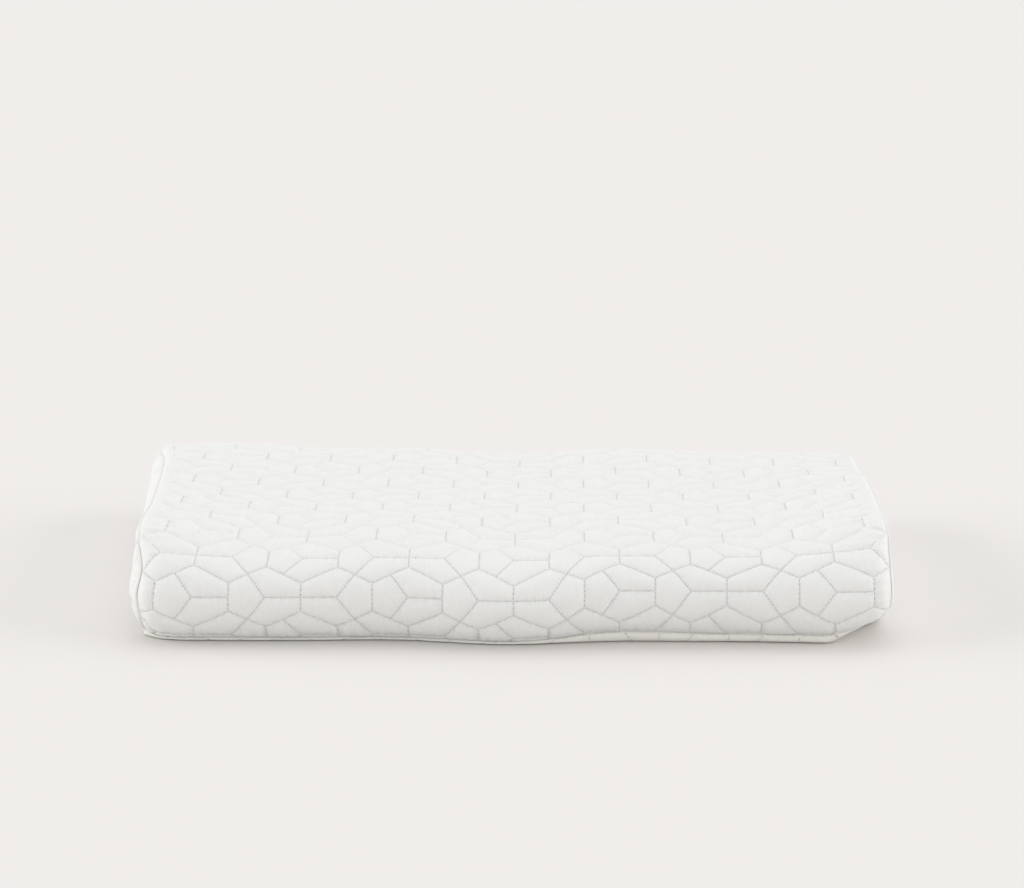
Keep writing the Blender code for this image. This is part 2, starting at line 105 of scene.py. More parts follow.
# The top is higher toward the two ends, most of all just behind the nose
END_LIFT = (  # (row, lift of the left end, lift of the right end)
    (-1.14, 0.000, 0.000),
    (0.00, 0.000, 0.001),
    (1.00, 0.004, 0.008),
    (2.00, 0.009, 0.014),
    (4.00, 0.006, 0.012),
    (6.00, 0.003, 0.007),
    (8.00, 0.000, 0.000),
    (11.35, 0.000, 0.000),
)
END_LIFT_COLUMNS = 2.0
END_LIFT_LIMIT = 1.15

# The end seams wander in and out a little, less and less toward the middle
WANDER_FALL = 1.5
END_WANDER = (  # (row, outward at the left, outward at the right)
    (-1.14, 0.0030, 0.000),
    (-0.10, 0.0028, 0.001),
    (0.60, -0.0020, 0.000),
    (1.00, 0.0000, 0.000),
    (1.50, 0.0035, 0.001),
    (2.20, 0.0050, 0.001),
    (4.00, 0.0010, 0.000),
    (7.00, 0.0000, -0.001),
    (9.00, 0.0010, -0.004),
    (11.35, 0.0010, -0.002),
)

# Soft waves along the pillow, at the top's front and back, and of the foot seam
WAVES = (  # (column, rise behind the nose, rise at the back, rise of the foot seam, nose pushed forward)
    (-0.4, 0.0000, 0.0005, 0.0000, 0.000),
    (0.6, 0.0000, 0.0015, 0.0000, 0.001),
    (1.8, -0.0010, -0.0005, 0.0000, 0.000),
    (3.2, 0.0030, 0.0010, 0.0000, -0.003),
    (4.9, -0.0020, -0.0045, 0.0000, 0.007),
    (6.6, 0.0015, 0.0015, 0.0035, -0.004),
    (8.3, 0.0000, -0.0020, 0.0015, -0.005),
    (9.3, 0.0000, -0.0015, 0.0015, -0.003),
    (10.3, 0.0000, -0.0030, 0.0195, 0.000),
)

WAVE_ROWS_BEHIND_NOSE = (0.3, 2.0, 2.0, 5.0)
WAVE_ROWS_AT_BACK = (5.0, 8.0, 9.6, 11.0)
WAVE_ROWS_AT_FOOT = (-1.14, -0.30)
WAVE_ROWS_FORWARD = (-0.20, 1.10)

# The cloth lies a little higher round the right half of the nose
PULL_UP = 0.15
PULL_UP_COLUMNS = (5.3, 6.3)
PULL_UP_ROWS = (-1.35, -0.2, 0.5, 3.0)

# Corner at the back left, drawn out behind
BACK_CORNER_REACH = 0.022
BACK_CORNER_SIDEWAYS = 0.008
BACK_CORNER_RISE = 0.0045
BACK_CORNER_COLUMNS = (2.8, 0.7)
BACK_CORNER_REACH_ROWS = (8.9, 10.3)
BACK_CORNER_SIDEWAYS_ROWS = (8.0, 10.0)
BACK_CORNER_RISE_ROWS = (8.8, 9.7, 9.7, 11.0)

# Spread of the columns round the nose, and rounding of the plan at the ends
NOSE_SPREAD = 0.005
NOSE_SPREAD_ROWS = (0.0, 3.0)
CORNER_SETBACK = 0.007
CORNER_COLUMNS = 0.55
FRONT_CORNER_ROWS = (0.3, 2.5)
BACK_CORNER_ROUND_ROWS = (9.0, 10.4)

# Steps along the panel's edges and the foot of an end, and spacing of points over an end
LONG_STEPS = 36
SIDE_STEPS = 42
END_STEPS = 22
END_SPACING = (0.022, 0.018)
END_MARGIN = 0.008

# Each triangle of a flat layout is cut in four this many times; distances are taken in batches
CUTS = 2
FINER = 2 ** CUTS
POINTS_AT_ONCE = 10000

# Stitched lines end this far from a seam; a facet's ring of raised points is this much smaller
STITCH_MARGIN = 0.002
PUFF_RING = 0.84

# Lines over this length are cut in two, and a line of which a seam leaves too little is left out
WHOLE_LINE = 0.6 * HALF_CELL
TRIM_STEPS = 15
FEWEST_STEPS = TRIM_STEPS // 4

# Quilting's place on the end panels, and their width of thin rim
END_QUILT_SHIFT = (0.0, 0.045)
END_COLUMNS = range(-9, 9)
END_ROWS = range(-1, 4)
RIM_WIDTH = 0.010

# The underside near its seam: first the filling, then the base panel's outer face
FILLING_FOOT = (  # (inset, inset added at a lifted corner, share of the seam's height)
    (0.000, 0.000, 1.00),
    (0.004, 0.012, 0.70),
    (0.010, 0.026, 0.25),
    (0.020, 0.036, 0.00),
)
PANEL_FOOT = (
    (-0.0010, 0.0000, 1.00),
    (-0.0018, 0.0060, 0.85),
    (-0.0018, 0.0170, 0.58),
    (-0.0008, 0.0290, 0.26),
    (0.0020, 0.0350, 0.05),
    (0.0080, 0.0360, 0.00),
)

# Heights between which the foot seam counts as lifted, from not at all to fully
LIFTED_SEAM = (0.0095, 0.0195)
LIFTED_SOONER_AT_ENDS = 0.0040

# Base panel: its rings point to a core this far in, its ends bow, its rim and underside are quilted
FLAT_CORE = 0.070
END_FOOT_BOW = 0.002
BASE_PUFF = 0.0012
RIM_PUFF = 0.0012
RIM_PUFF_START = 0.1
RIM_STEPS = 8
RIM_QUILT_SHIFT = (-0.0325, 0.0)
RIM_COLUMNS = range(-6, 36)
RIM_LINE_DEPTH = 0.0060
BASE_COLUMNS = range(-7, 7)
BASE_ROWS = range(-6, 7)

# Stitches by the slope of their line: pitch along it, a stitch's length, width and height, its
# thread, and how far it sinks on the top
# Thread 0: the grey copy with painted shade of the tuck holes; thread 1: the paler, lit copy
STITCHES = (  # (steepest slope in degrees, pitch, length, width, height, thread, sink)
    (10, 0.0020, 0.0012, 0.00046, 0.00030, 0, 0.00020),
    (40, 0.0022, 0.0012, 0.00034, 0.00026, 1, 0.00020),
    (70, 0.0030, 0.0018, 0.00060, 0.00034, 0, 0.00014),
    (91, 0.0034, 0.0019, 0.00062, 0.00034, 0, 0.00000),
)
STITCH_LIFT = -0.00006
STITCH_PROBE = 0.0004
STRAIGHT_HALF = 0.28

# Between these rows, from the nose to the top, stitches sink, creases soften and level tucks fade
SINK_ROWS = (0.6, 1.8)
CREASE_LESS = 0.65
TOP_ROUNDING = 0.0007
TUCK_FADE = 0.0008

# Behind the nose the quilting is drawn flat beside the end seams: over this width, in these rows
SMOOTH_WIDTH = (0.013, 0.005)
SMOOTH_ROWS = (1.6, 2.8)

# Turned seams: sides and length step of a roll, and how its hidden stitches gather it
ROLL_SIDES = 8
ROLL_STEP = 0.0011
ROLL_GATHER = 0.12
ROLL_GATHER_PITCH = 0.0030
ROLL_END_SHARE = 0.3
ROLL_SAMPLES = 400
ROLL_MARGIN = 0.02

# A direction that no seam follows
ACROSS_ALL_SEAMS = (0.31, 0.17, 0.93)

# Rolls of the end seams: slimmest beside the nose, where the seam is a dark fold
END_ROLL = (  # (row, radius, distance in from the edge, rise over the cloth)
    (-1.14, 0.00080, 0.0002, -0.0005),
    (-0.30, 0.00090, 0.0003, -0.0003),
    (0.10, 0.00040, 0.0000, -0.0009),
    (1.00, 0.00040, 0.0000, -0.0009),
    (1.60, 0.00090, 0.0001, -0.0004),
    (2.60, 0.00090, -0.0003, -0.0007),
    (11.35, 0.00090, -0.0003, -0.0007),
)
FOOT_ROLL = (0.00070, 0.0000, -0.0002)

# Soft unevenness of the cloth, and gathers beside the seams
WRINKLE = 0.0004
WRINKLE_SIZE = 0.035
GATHER = 0.0005
GATHER_PITCH = 0.009
GATHER_REACH = 0.009
GATHER_DRIFT = ((1.5, 0.021), (1.2, 0.017))
GATHER_LIMIT = 5

# Colours of cloth, thread and floor, with painted light on the base cloth and painted shade on thread
COVER_COLOUR = (0.800, 0.800, 0.785, 1.0)
# The base cloth is the cover's knit painted lighter: painted light against the shade near the floor
BASE_COLOUR_PAINTED_LIGHTER = (0.870, 0.860, 0.815, 1.0)
# Two copies of one thread: grey with painted shade of the tuck holes, and a paler, lit copy
THREAD_PAINTED_SHADE_COLOUR = (0.360, 0.355, 0.340, 1.0)
THREAD_PAINTED_LIGHT_COLOUR = (0.580, 0.575, 0.560, 1.0)
FLOOR_COLOUR = (0.800, 0.778, 0.762, 1.0)

# Knit: pitch of its ribs and courses, and heights of its relief in millimetres. A tuck's painted
# shade is how much darker its dimple's colour is painted, and its length is a share of the stitches' pitch
RIB_PITCH = 0.0016
COURSE_PITCH = 0.0050
RIB_RELIEF = 0.08
FLECK_RELIEF = 0.09
TUCK_RELIEF = 0.30
TUCK_PAINTED_SHADE = 0.08
TUCK_LENGTH = 0.3125
TUCK_WIDTH = 0.0006
PUCKER_RELIEF = 0.16
PUCKER_REACH = 0.0022

# Camera: focal length in mm, tilt down and turn to the left in degrees, and place
FOCAL = 101.95
TILT = 15.01
TURN = 1.16
CAMERA_PLACE = (0.0583, -2.3747, 0.7548)

# Light: surrounding light, and four broad suns (strength, turn and height in degrees, spread)
AROUND_COLOUR = (1.0, 0.998, 0.995, 1.0)
AROUND_STRENGTH = 0.69
SUNS = {
    "high_light": (0.56, 150.0, 70.0, 60.0),
    "left_light": (1.80, -90.0, 9.0, 60.0),
    "right_light": (1.60, 90.0, 9.0, 60.0),
    "front_light": (0.21, 5.0, 8.0, 60.0),
}
FLOOR_REACH = 30.0
FLOOR_DROP = 0.0002


def smooth_table(table, column, x):
    """A monotone cubic through one column of a table, read at x."""
    knots = np.array([line[0] for line in table], float)
    values = np.array([line[column] for line in table], float)
    slopes = np.diff(values) / np.diff(knots)
    tangents = np.zeros(len(knots))
    same_way = slopes[:-1] * slopes[1:] > 0
    pair = slopes[:-1] + slopes[1:]
    tangents[1:-1][same_way] = (2 * slopes[:-1] * slopes[1:])[same_way] / pair[same_way]
    tangents[0] = slopes[0]
    tangents[-1] = slopes[-1]
    x = np.clip(x, knots[0], knots[-1])
    i = np.clip(np.searchsorted(knots, x) - 1, 0, len(slopes) - 1)
    span = knots[i + 1] - knots[i]
    u = (x - knots[i]) / span
    rise = values[i + 1] - values[i]
    from_start = tangents[i] * span * u * (1 - u) ** 2
    from_end = tangents[i + 1] * span * u * u * (u - 1)
    return values[i] + rise * u * u * (3 - 2 * u) + from_start + from_end


def ease(x, start, end):
    """Smooth step from 0 at start to 1 at end, either way round."""
    u = np.clip((x - start) / (end - start), 0, 1)
    return u * u * (3 - 2 * u)


def swell(x, rows):
    """Smooth rise between the first two rows, and fall between the last two."""
    return ease(x, rows[0], rows[1]) * (1 - ease(x, rows[2], rows[3]))


def make_profile():
    """The cross-section's y and z at closely spaced rows, by its slopes."""
    rows = np.linspace(FRONT_EDGE, BACK_EDGE, PROFILE_SAMPLES)
    slope = np.radians(smooth_table(PROFILE, 1, rows))
    step = np.diff(rows) * ROW
    run = np.cumsum((np.cos(slope)[1:] + np.cos(slope)[:-1]) / 2 * step)
    rise = np.cumsum((np.sin(slope)[1:] + np.sin(slope)[:-1]) / 2 * step)
    y = np.concatenate([[0.0], run])
    z = np.concatenate([[0.0], rise]) + SEAM_HEIGHT
    y -= np.interp(CENTRE_ROW, rows, y)
    return rows, y, z


PROFILE_ROWS, PROFILE_Y, PROFILE_Z = make_profile()


def front_edge(column):
    return FRONT_EDGE + (FRONT_EDGE_RIGHT - FRONT_EDGE) * ease(column, *PULL_UP_COLUMNS)


def left_edge(row):
    return LEFT_EDGE + LEFT_EDGE_PER_ROW * row


def right_edge(row):
    return RIGHT_EDGE + RIGHT_EDGE_PER_ROW * row


def panel_place(column, row):
    """The long panel's place in space, without its quilting. Arrays in, an array of points out."""
    pull_up = PULL_UP * ease(column, *PULL_UP_COLUMNS) * swell(row, PULL_UP_ROWS)
    place = np.clip(row + pull_up, FRONT_EDGE, BACK_EDGE)
    y = np.interp(place, PROFILE_ROWS, PROFILE_Y)
    y = y - smooth_table(WAVES, 4, column) * (1 - ease(row, *WAVE_ROWS_FORWARD))
    z = np.interp(place, PROFILE_ROWS, PROFILE_Z)

    x = CELL * (column - CENTRE_COLUMN)
    from_middle = column / MIDDLE_COLUMN - 1
    x = x + NOSE_SPREAD * from_middle ** 3 * (1 - ease(row, *NOSE_SPREAD_ROWS))

    left_end = np.clip(1 - column / END_LIFT_COLUMNS, 0, END_LIFT_LIMIT) ** 2
    right_end = np.clip(1 - (2 * MIDDLE_COLUMN - column) / END_LIFT_COLUMNS, 0, END_LIFT_LIMIT) ** 2
    z = z + smooth_table(END_LIFT, 1, row) * left_end + smooth_table(END_LIFT, 2, row) * right_end

    z = z + smooth_table(WAVES, 1, column) * swell(row, WAVE_ROWS_BEHIND_NOSE)
    z = z + smooth_table(WAVES, 2, column) * swell(row, WAVE_ROWS_AT_BACK)
    z = z + smooth_table(WAVES, 3, column) * (1 - ease(row, *WAVE_ROWS_AT_FOOT))

    near_left = np.clip(1 - (column - left_edge(row)) / CORNER_COLUMNS, 0, 1)
    near_right = np.clip(1 - (right_edge(row) - column) / CORNER_COLUMNS, 0, 1)
    x = x - smooth_table(END_WANDER, 1, row) * near_left ** WANDER_FALL
    x = x + smooth_table(END_WANDER, 2, row) * near_right ** WANDER_FALL

    back_corner = ease(column, *BACK_CORNER_COLUMNS)
    x = x - BACK_CORNER_SIDEWAYS * back_corner * ease(row, *BACK_CORNER_SIDEWAYS_ROWS)
    y = y + BACK_CORNER_REACH * back_corner * ease(row, *BACK_CORNER_REACH_ROWS)
    z = z + BACK_CORNER_RISE * back_corner * swell(row, BACK_CORNER_RISE_ROWS)
    rounding = CORNER_SETBACK * (near_left ** 2 + near_right ** 2)
    y = y + rounding * (1 - ease(row, *FRONT_CORNER_ROWS)) - rounding * ease(row, *BACK_CORNER_ROUND_ROWS)
    return np.stack([x, y, z], axis=-1)


def unit(vectors):
    return vectors / np.linalg.norm(vectors, axis=-1, keepdims=True)


def panel_normal(column, row):
    """Outward unit normal of the long panel, by small steps along the cloth."""
    step = NORMAL_STEP
    along = panel_place(column + step, row) - panel_place(column - step, row)
    row_low = np.clip(row - step, FRONT_EDGE, BACK_EDGE)
    row_high = np.clip(row + step, FRONT_EDGE, BACK_EDGE)
    across = panel_place(column, row_high) - panel_place(column, row_low)
    return unit(np.cross(along, across))


def cell_corners(centre, mirrored):
    """The nine places round a cell, counted from its spoked side."""
    side = -1 if mirrored else 1
    across = CELL / 2
    quarter = (HALF_SIDE + HALF_CELL) / 2
    ring = (
        (across, 0.0),
        (across, HALF_SIDE),
        (0.0, HALF_CELL),
        (-across / 2, quarter),
        (-across, HALF_SIDE),
        (-across, -HALF_SIDE),
        (-across / 2, -quarter),
        (0.0, -HALF_CELL),
        (across, -HALF_SIDE),
    )
    return [(centre[0] + side * x, centre[1] + y) for x, y in ring]


def quilt_cells(columns, rows):
    """Each quilted cell: its centre, and the places round it."""
    for row in rows:
        odd = row % 2
        for k in columns:
            centre = ((k + 0.5 - 0.5 * odd) * CELL, row * ROW)
            mirrored = k % SPOKE_PERIOD == (1 if odd else 2)
            yield centre, cell_corners(centre, mirrored)


def cell_facets(centre, ring):
    """The three puffed facets of a cell, each between two of its spokes."""
    yield [centre, ring[0], ring[1], ring[2], ring[3]]
    yield [centre, ring[3], ring[4], ring[5], ring[6]]
    yield [centre, ring[6], ring[7], ring[8], ring[0]]


def middle(a, b):
    return ((a[0] + b[0]) / 2, (a[1] + b[1]) / 2)


def stitch_lines(columns, rows):
    """Every stitched line once, cut at the middles where a spoke may end."""
    lines = {}
    for centre, ring in quilt_cells(columns, rows):
        edges = [(ring[i], ring[(i + 1) % 9]) for i in range(9)]
        spokes = [(centre, ring[0]), (centre, ring[3]), (centre, ring[6])]
        for a, b in edges + spokes:
            length = math.dist(a, b)
            halves = [(a, middle(a, b)), (middle(a, b), b)] if length > WHOLE_LINE else [(a, b)]
            for p, q in halves:
                key = tuple(sorted(((round(p[0], 5), round(p[1], 5)), (round(q[0], 5), round(q[1], 5)))))
                lines[key] = (p, q)
    return list(lines.values())


BLOCK_LINES = np.array(stitch_lines(range(-1, 5), range(-1, 4)))


def stitch_kind(along):
    """Pitch, length, width, height, thread and sink of the stitches on a line of this direction."""
    slope = math.degrees(math.atan2(abs(along[1]), abs(along[0])))
    return next(kind[1:] for kind in STITCHES if slope < kind[0])


def stitch_count(line):
    """How many stitches fit on a line."""
    along = line[1] - line[0]
    return max(1, round(np.linalg.norm(along) / stitch_kind(along)[0]))


BLOCK_COUNTS = np.array([stitch_count(line) for line in BLOCK_LINES])
BLOCK_STEEP = np.array([stitch_kind(line[1] - line[0])[-1] == 0 for line in BLOCK_LINES])


def distances_to_lines(points, lines):
    """Distance of each point to each line."""
    start = lines[:, 0]
    along = lines[:, 1] - start
    offset = points[:, None, :] - start[None]
    share = np.clip((offset * along).sum(-1) / (along * along).sum(-1), 0, 1)
    return np.linalg.norm(offset - share[..., None] * along, axis=-1)


def nearest_stitch_line(points):
    """Nearest stitched line in one repeat of the quilting: its index, the distance and the fold."""
    repeat = np.array([SPOKE_PERIOD * CELL, 2 * ROW])
    fold = np.floor(points / repeat) * repeat
    index = np.zeros(len(points), int)
    distance = np.zeros(len(points))
    for part in np.array_split(np.arange(len(points)), max(1, len(points) // POINTS_AT_ONCE)):
        to_lines = distances_to_lines(points[part] - fold[part], BLOCK_LINES)
        index[part] = to_lines.argmin(1)
        distance[part] = to_lines.min(1)
    return index, distance, fold


def inside_outline(points, outline):
    """Which points lie within a closed outline, by counting its crossings."""
    x, y = points[:, 0:1], points[:, 1:2]
    start, end = outline, np.roll(outline, -1, axis=0)
    straddles = (start[:, 1] > y) != (end[:, 1] > y)
    height = np.where(end[:, 1] == start[:, 1], 1.0, end[:, 1] - start[:, 1])
    crossing = start[:, 0] + (y - start[:, 1]) / height * (end[:, 0] - start[:, 0])
    return (straddles & (x < crossing)).sum(1) % 2 == 1


def outline_distance(points, outline):
    """Distance of each point to a closed outline."""
    sides = np.stack([outline, np.roll(outline, -1, axis=0)], axis=1)
    parts = np.array_split(points, max(1, len(points) // POINTS_AT_ONCE))
    return np.concatenate([distances_to_lines(part, sides).min(1) for part in parts])


def well_inside(points, outline, margin):
    return inside_outline(points, outline) & (outline_distance(points, outline) > margin)


def quilt_layout(outline, columns, rows, shift=(0.0, 0.0)):
    """Flat layout of a quilted panel: points, the outline's first, triangles and stitched lines."""
    points = [tuple(p) for p in outline]
    count = len(points)
    edges = [(i, (i + 1) % count) for i in range(count)]
    known = {}
    lines = []

    def add(p):
        key = (round(p[0], 5), round(p[1], 5))
        if key not in known:
            known[key] = len(points)
            points.append(tuple(p))
        return known[key]

    shift = np.array(shift)
    for p, q in stitch_lines(columns, rows):
        samples = np.linspace(np.array(p) + shift, np.array(q) + shift, TRIM_STEPS)
        inside = well_inside(samples, outline, STITCH_MARGIN)
        kept = samples[inside]
        in_one_run = inside[inside.argmax() :][: len(kept)].all()
        if len(kept) > FEWEST_STEPS and in_one_run:
            edges.append((add(kept[0]), add(kept[-1])))
            lines.append((kept[0], kept[-1]))
    for centre, ring in quilt_cells(columns, rows):
        for facet in cell_facets(centre, ring):
            corners = np.array(facet) + shift
            heart = corners.mean(0)
            puff = np.vstack([[heart], heart + PUFF_RING * (corners - heart)])
            for p in puff[well_inside(puff, outline, STITCH_MARGIN)]:
                add(p)
    result = delaunay_2d_cdt(points, edges, [], 1, 1e-6)
    flat = np.array([tuple(p) for p in result[0]])
    order = [sources[0] if sources else None for sources in result[3]]
    outline_index = {source: i for i, source in enumerate(order) if source is not None and source < count}
    lead = [outline_index[i] for i in range(count)]
    in_lead = set(lead)
    rest = [i for i in range(len(flat)) if i not in in_lead]
    renumber = {old: new for new, old in enumerate(lead + rest)}
    triangles = [tuple(renumber[i] for i in face) for face in result[2]]
    return flat[lead + rest], np.array(triangles), np.array(lines)


def cut_finer(flat, triangles, loop):
    """Cuts each triangle in four. The outline's loop of points takes in its new middles."""
    sides = [triangles[:, pair] for pair in ([0, 1], [1, 2], [2, 0])]
    edges = np.sort(np.concatenate(sides), axis=1)
    once, index = np.unique(edges, axis=0, return_inverse=True)
    ab, bc, ca = index.reshape(3, -1) + len(flat)
    a, b, c = triangles.T
    cut = np.concatenate([np.stack(t, 1) for t in ((a, ab, ca), (ab, b, bc), (ca, bc, c), (ab, bc, ca))])
    middles = (flat[once[:, 0]] + flat[once[:, 1]]) / 2
    place = {tuple(edge): len(flat) + i for i, edge in enumerate(once.tolist())}
    finer = []
    for i, k in zip(loop, loop[1:] + loop[:1]):
        finer += [i, place[(min(i, k), max(i, k))]]
    return np.vstack([flat, middles]), cut, finer


def fine_layout(outline, columns, rows, shift=(0.0, 0.0), cuts=CUTS):
    """A quilted panel's layout after its cuts: flat points, triangles, outline loop, stitched lines."""
    flat, triangles, lines = quilt_layout(outline, columns, rows, shift)
    loop = list(range(len(outline)))
    for _ in range(cuts):
        flat, triangles, loop = cut_finer(flat, triangles, loop)
    return flat, triangles, loop, lines


def puff_share(nearest, crease=CREASE, rounding=0.0):
    """Share of a puff's height at a distance from the nearest stitched line or seam."""
    nearest = np.sqrt(nearest ** 2 + rounding ** 2) - rounding
    soft = 1 - np.exp(-nearest / PUFF_RISE)
    crisp = 1 - np.exp(-nearest / CREASE_RISE)
    return (1 - crease) * soft + crease * crisp * soft ** CREASE_SOFTENING


def puff_height(points, edge_distance, shift=(0.0, 0.0), crease=CREASE, rounding=0.0, smooth=0.0):
    """Height of the quilting over the cloth's own surface."""
    to_stitches = nearest_stitch_line(points - np.array(shift))[1]
    quilted = puff_share(np.minimum(to_stitches, edge_distance), crease, rounding)
    return PUFF * (quilted + (puff_share(edge_distance) - quilted) * smooth)


def smooth_share(flat):
    """How much the quilting is drawn flat on the long panel: 1 beside the end seams behind the nose."""
    column, row = flat[:, 0] / CELL, flat[:, 1] / ROW
    to_ends = CELL * np.minimum(column - left_edge(row), right_edge(row) - column)
    return ease(to_ends, *SMOOTH_WIDTH) * ease(row, *SMOOTH_ROWS)


def stitch_map(flat, triangles, shift=(0.0, 0.0), away=np.zeros(1)):
    """For each corner of each triangle: stitches along, and metres from, its nearest stitched line.

    The tucks of a line that isn't steep fade where away moves the map from it.
    """
    corners = flat[triangles] - np.array(shift)
    index, _, fold = nearest_stitch_line(corners.mean(1))
    start, end = BLOCK_LINES[index, 0], BLOCK_LINES[index, 1]
    length = np.linalg.norm(end - start, axis=1)[:, None]
    along = (end - start) / length
    offset = corners - fold[:, None] - start[:, None]
    u = (offset * along[:, None]).sum(-1) / length * BLOCK_COUNTS[index][:, None]
    v = offset[..., 0] * along[:, None, 1] - offset[..., 1] * along[:, None, 0]
    side = np.where(v.sum(1, keepdims=True) < 0, -1, 1)
    return np.stack([u, v + away[:, None] * (1 - BLOCK_STEEP[index][:, None]) * side], axis=-1)


def wrinkles(points, size, height):
    """Soft unevenness by noise in space."""
    return height * np.array([noise.noise(Vector(p) / size) for p in points])


def long_panel():
    """The long panel: points, triangles, outline loop, and what its maps and stitches need."""
    front_columns = np.linspace(left_edge(FRONT_EDGE), right_edge(FRONT_EDGE_RIGHT), LONG_STEPS + 1)[:-1]
    back_columns = np.linspace(right_edge(BACK_EDGE), left_edge(BACK_EDGE), LONG_STEPS + 1)[:-1]
    right_rows = np.linspace(FRONT_EDGE_RIGHT, BACK_EDGE, SIDE_STEPS + 1)[:-1]
    left_rows = np.linspace(BACK_EDGE, FRONT_EDGE, SIDE_STEPS + 1)[:-1]
    outline = np.vstack([
        np.column_stack([front_columns, front_edge(front_columns)]),
        np.column_stack([right_edge(right_rows), right_rows]),
        np.column_stack([back_columns, np.full(LONG_STEPS, BACK_EDGE)]),
        np.column_stack([left_edge(left_rows), left_rows]),
    ])
    outline = outline * (CELL, ROW)
    flat, triangles, loop, lines = fine_layout(outline, range(-2, 12), range(-2, 12))
    return long_panel_surface(flat), flat, triangles, loop, lines


def long_panel_surface(flat, raised=1.0):
    """Places on the long panel with its puffs, seams' draw, gathers and wrinkles."""
    column, row = flat[:, 0] / CELL, flat[:, 1] / ROW
    to_ends = np.clip(CELL * np.minimum(column - left_edge(row), right_edge(row) - column), 0, None)
    to_foot = np.clip(ROW * np.minimum(row - front_edge(column), BACK_EDGE - row), 0, None)
    on_top = ease(row, *SINK_ROWS)
    softer = {"crease": CREASE * (1 - CREASE_LESS * on_top), "rounding": TOP_ROUNDING * on_top}
    height = raised * puff_height(flat, np.minimum(to_ends, to_foot), smooth=smooth_share(flat), **softer)
    height -= SEAM_DRAW * np.clip(1 - to_ends / SEAM_DRAW_WIDTH, 0, 1) ** 2
    height -= FOOT_DRAW * np.clip(1 - to_foot / SEAM_DRAW_WIDTH, 0, 1) ** 2
    base = panel_place(column, row)
    turn = 2 * math.pi / GATHER_PITCH
    (drift_y, size_y), (drift_x, size_x) = GATHER_DRIFT
    uneven = drift_y * np.sin(flat[:, 1] / size_y) + drift_x * np.sin(flat[:, 0] / size_x)
    height += GATHER * np.sin(flat[:, 1] * turn + uneven) * gather_share(to_ends)
    height += GATHER * np.sin(flat[:, 0] * turn + uneven) * gather_share(to_foot)
    free = 1 - np.exp(-np.minimum(to_ends, to_foot) / GATHER_REACH)
    height += wrinkles(base, WRINKLE_SIZE, WRINKLE) * free
    return base + height[:, None] * panel_normal(column, row)


def gather_share(distance):
    """How strongly a seam's gathers show at a distance: none on the seam itself, most just beside it."""
    near = distance / GATHER_REACH
    return near * np.exp(1 - near) * (near < GATHER_LIMIT)


def base_run(start, end):
    """The seam along the foot of one end, from one corner to the next."""
    share = np.linspace(0, 1, END_STEPS * FINER + 1)[1:-1, None]
    run = start + (end - start) * share
    sag = 4 * share[:, 0] * (1 - share[:, 0])
    outward = np.sign(start[0])
    run[:, 0] += outward * END_FOOT_BOW * sag
    run[:, 2] = np.minimum(run[:, 2], SEAM_HEIGHT + (run[:, 2] - SEAM_HEIGHT) * (1 - sag) ** 2)
    return run


def end_x(edge, places, outward, bulge):
    """How far out an end stands at flat (y, z) places: a straight end that meets its wavy edge."""
    edge = edge[::FINER]
    slope, middle_x = np.polyfit(edge[:, 1], edge[:, 0], 1)
    straight = middle_x + slope * places[:, 0]
    gap = np.linalg.norm(places[:, None, :] - edge[None, :, 1:], axis=-1)
    weight = 1 / (gap + 1e-6) ** 3
    at_edge = (weight * edge[:, 0]).sum(1) / weight.sum(1)
    distance = outline_distance(places, edge[:, 1:])
    x = straight + (at_edge - straight) * np.exp(-distance / END_BULGE_RISE)
    push = np.interp(places[:, 1], END_BULGE_HEIGHTS, bulge)
    return x + outward * push * (1 - np.exp(-distance / END_BULGE_RISE)), distance


def end_face(edge, outward, bulge):
    """A plain filled end: its points, the edge's first, and its triangles."""
    outline = edge[:, 1:]
    low, high = outline.min(0), outline.max(0)
    depths = np.arange(low[0] + END_SPACING[0], high[0], END_SPACING[0])
    levels = np.arange(low[1] + END_SPACING[1], high[1], END_SPACING[1])
    grid = np.array([(y, z) for y in depths for z in levels])
    grid = grid[well_inside(grid, outline, END_MARGIN)]
    places = np.vstack([outline, grid])
    count = len(outline)
    ring = [(i, (i + 1) % count) for i in range(count)]
    result = delaunay_2d_cdt([tuple(p) for p in places], ring, [], 1, 1e-6)
    triangles = [tuple(result[3][i][0] for i in face) for face in result[2]]
    x = np.concatenate([edge[:, 0], end_x(edge, grid, outward, bulge)[0]])
    return np.column_stack([x, places]), np.array(triangles)


def end_surface(edge, places, outward, bulge):
    """Places on an end panel's quilted outer face."""
    x, distance = end_x(edge, places, outward, bulge)
    thickness = RIM_THICKNESS + (PANEL_THICKNESS - RIM_THICKNESS) * ease(distance, 0.0, RIM_WIDTH)
    x = x + outward * (GAP + thickness + puff_height(places, distance, END_QUILT_SHIFT))
    return np.column_stack([x, places])


def seam_inward(loop):
    """Level directions from the foot seam toward the middle of the base."""
    half = np.abs(loop[:, :2]).max(0) - FLAT_CORE
    return unit(np.clip(loop[:, :2], -half, half) - loop[:, :2])


def base_rings(loop, foot, table):
    """Rings inward from the seam loop, sinking by a table to the flat base at height foot."""
    direction = seam_inward(loop)
    start = LIFTED_SEAM[0] - LIFTED_SOONER_AT_ENDS * np.abs(direction[:, 0])
    lifted = np.clip((loop[:, 2] - start) / (LIFTED_SEAM[1] - start), 0, 1)
    rings = []
    for inset, more, share in table:
        ring = loop.copy()
        ring[:, :2] += direction * (inset + more * lifted)[:, None]
        ring[:, 2] = foot + (loop[:, 2] - foot) * share
        rings.append(ring)
    return rings


def ring_faces(start, rings, count):
    """Quads between neighbouring rings of points that are numbered from start."""
    faces = []
    for r in range(rings - 1):
        low, high = start + r * count, start + (r + 1) * count
        faces += [(low + i, low + (i + 1) % count, high + (i + 1) % count, high + i) for i in range(count)]
    return faces


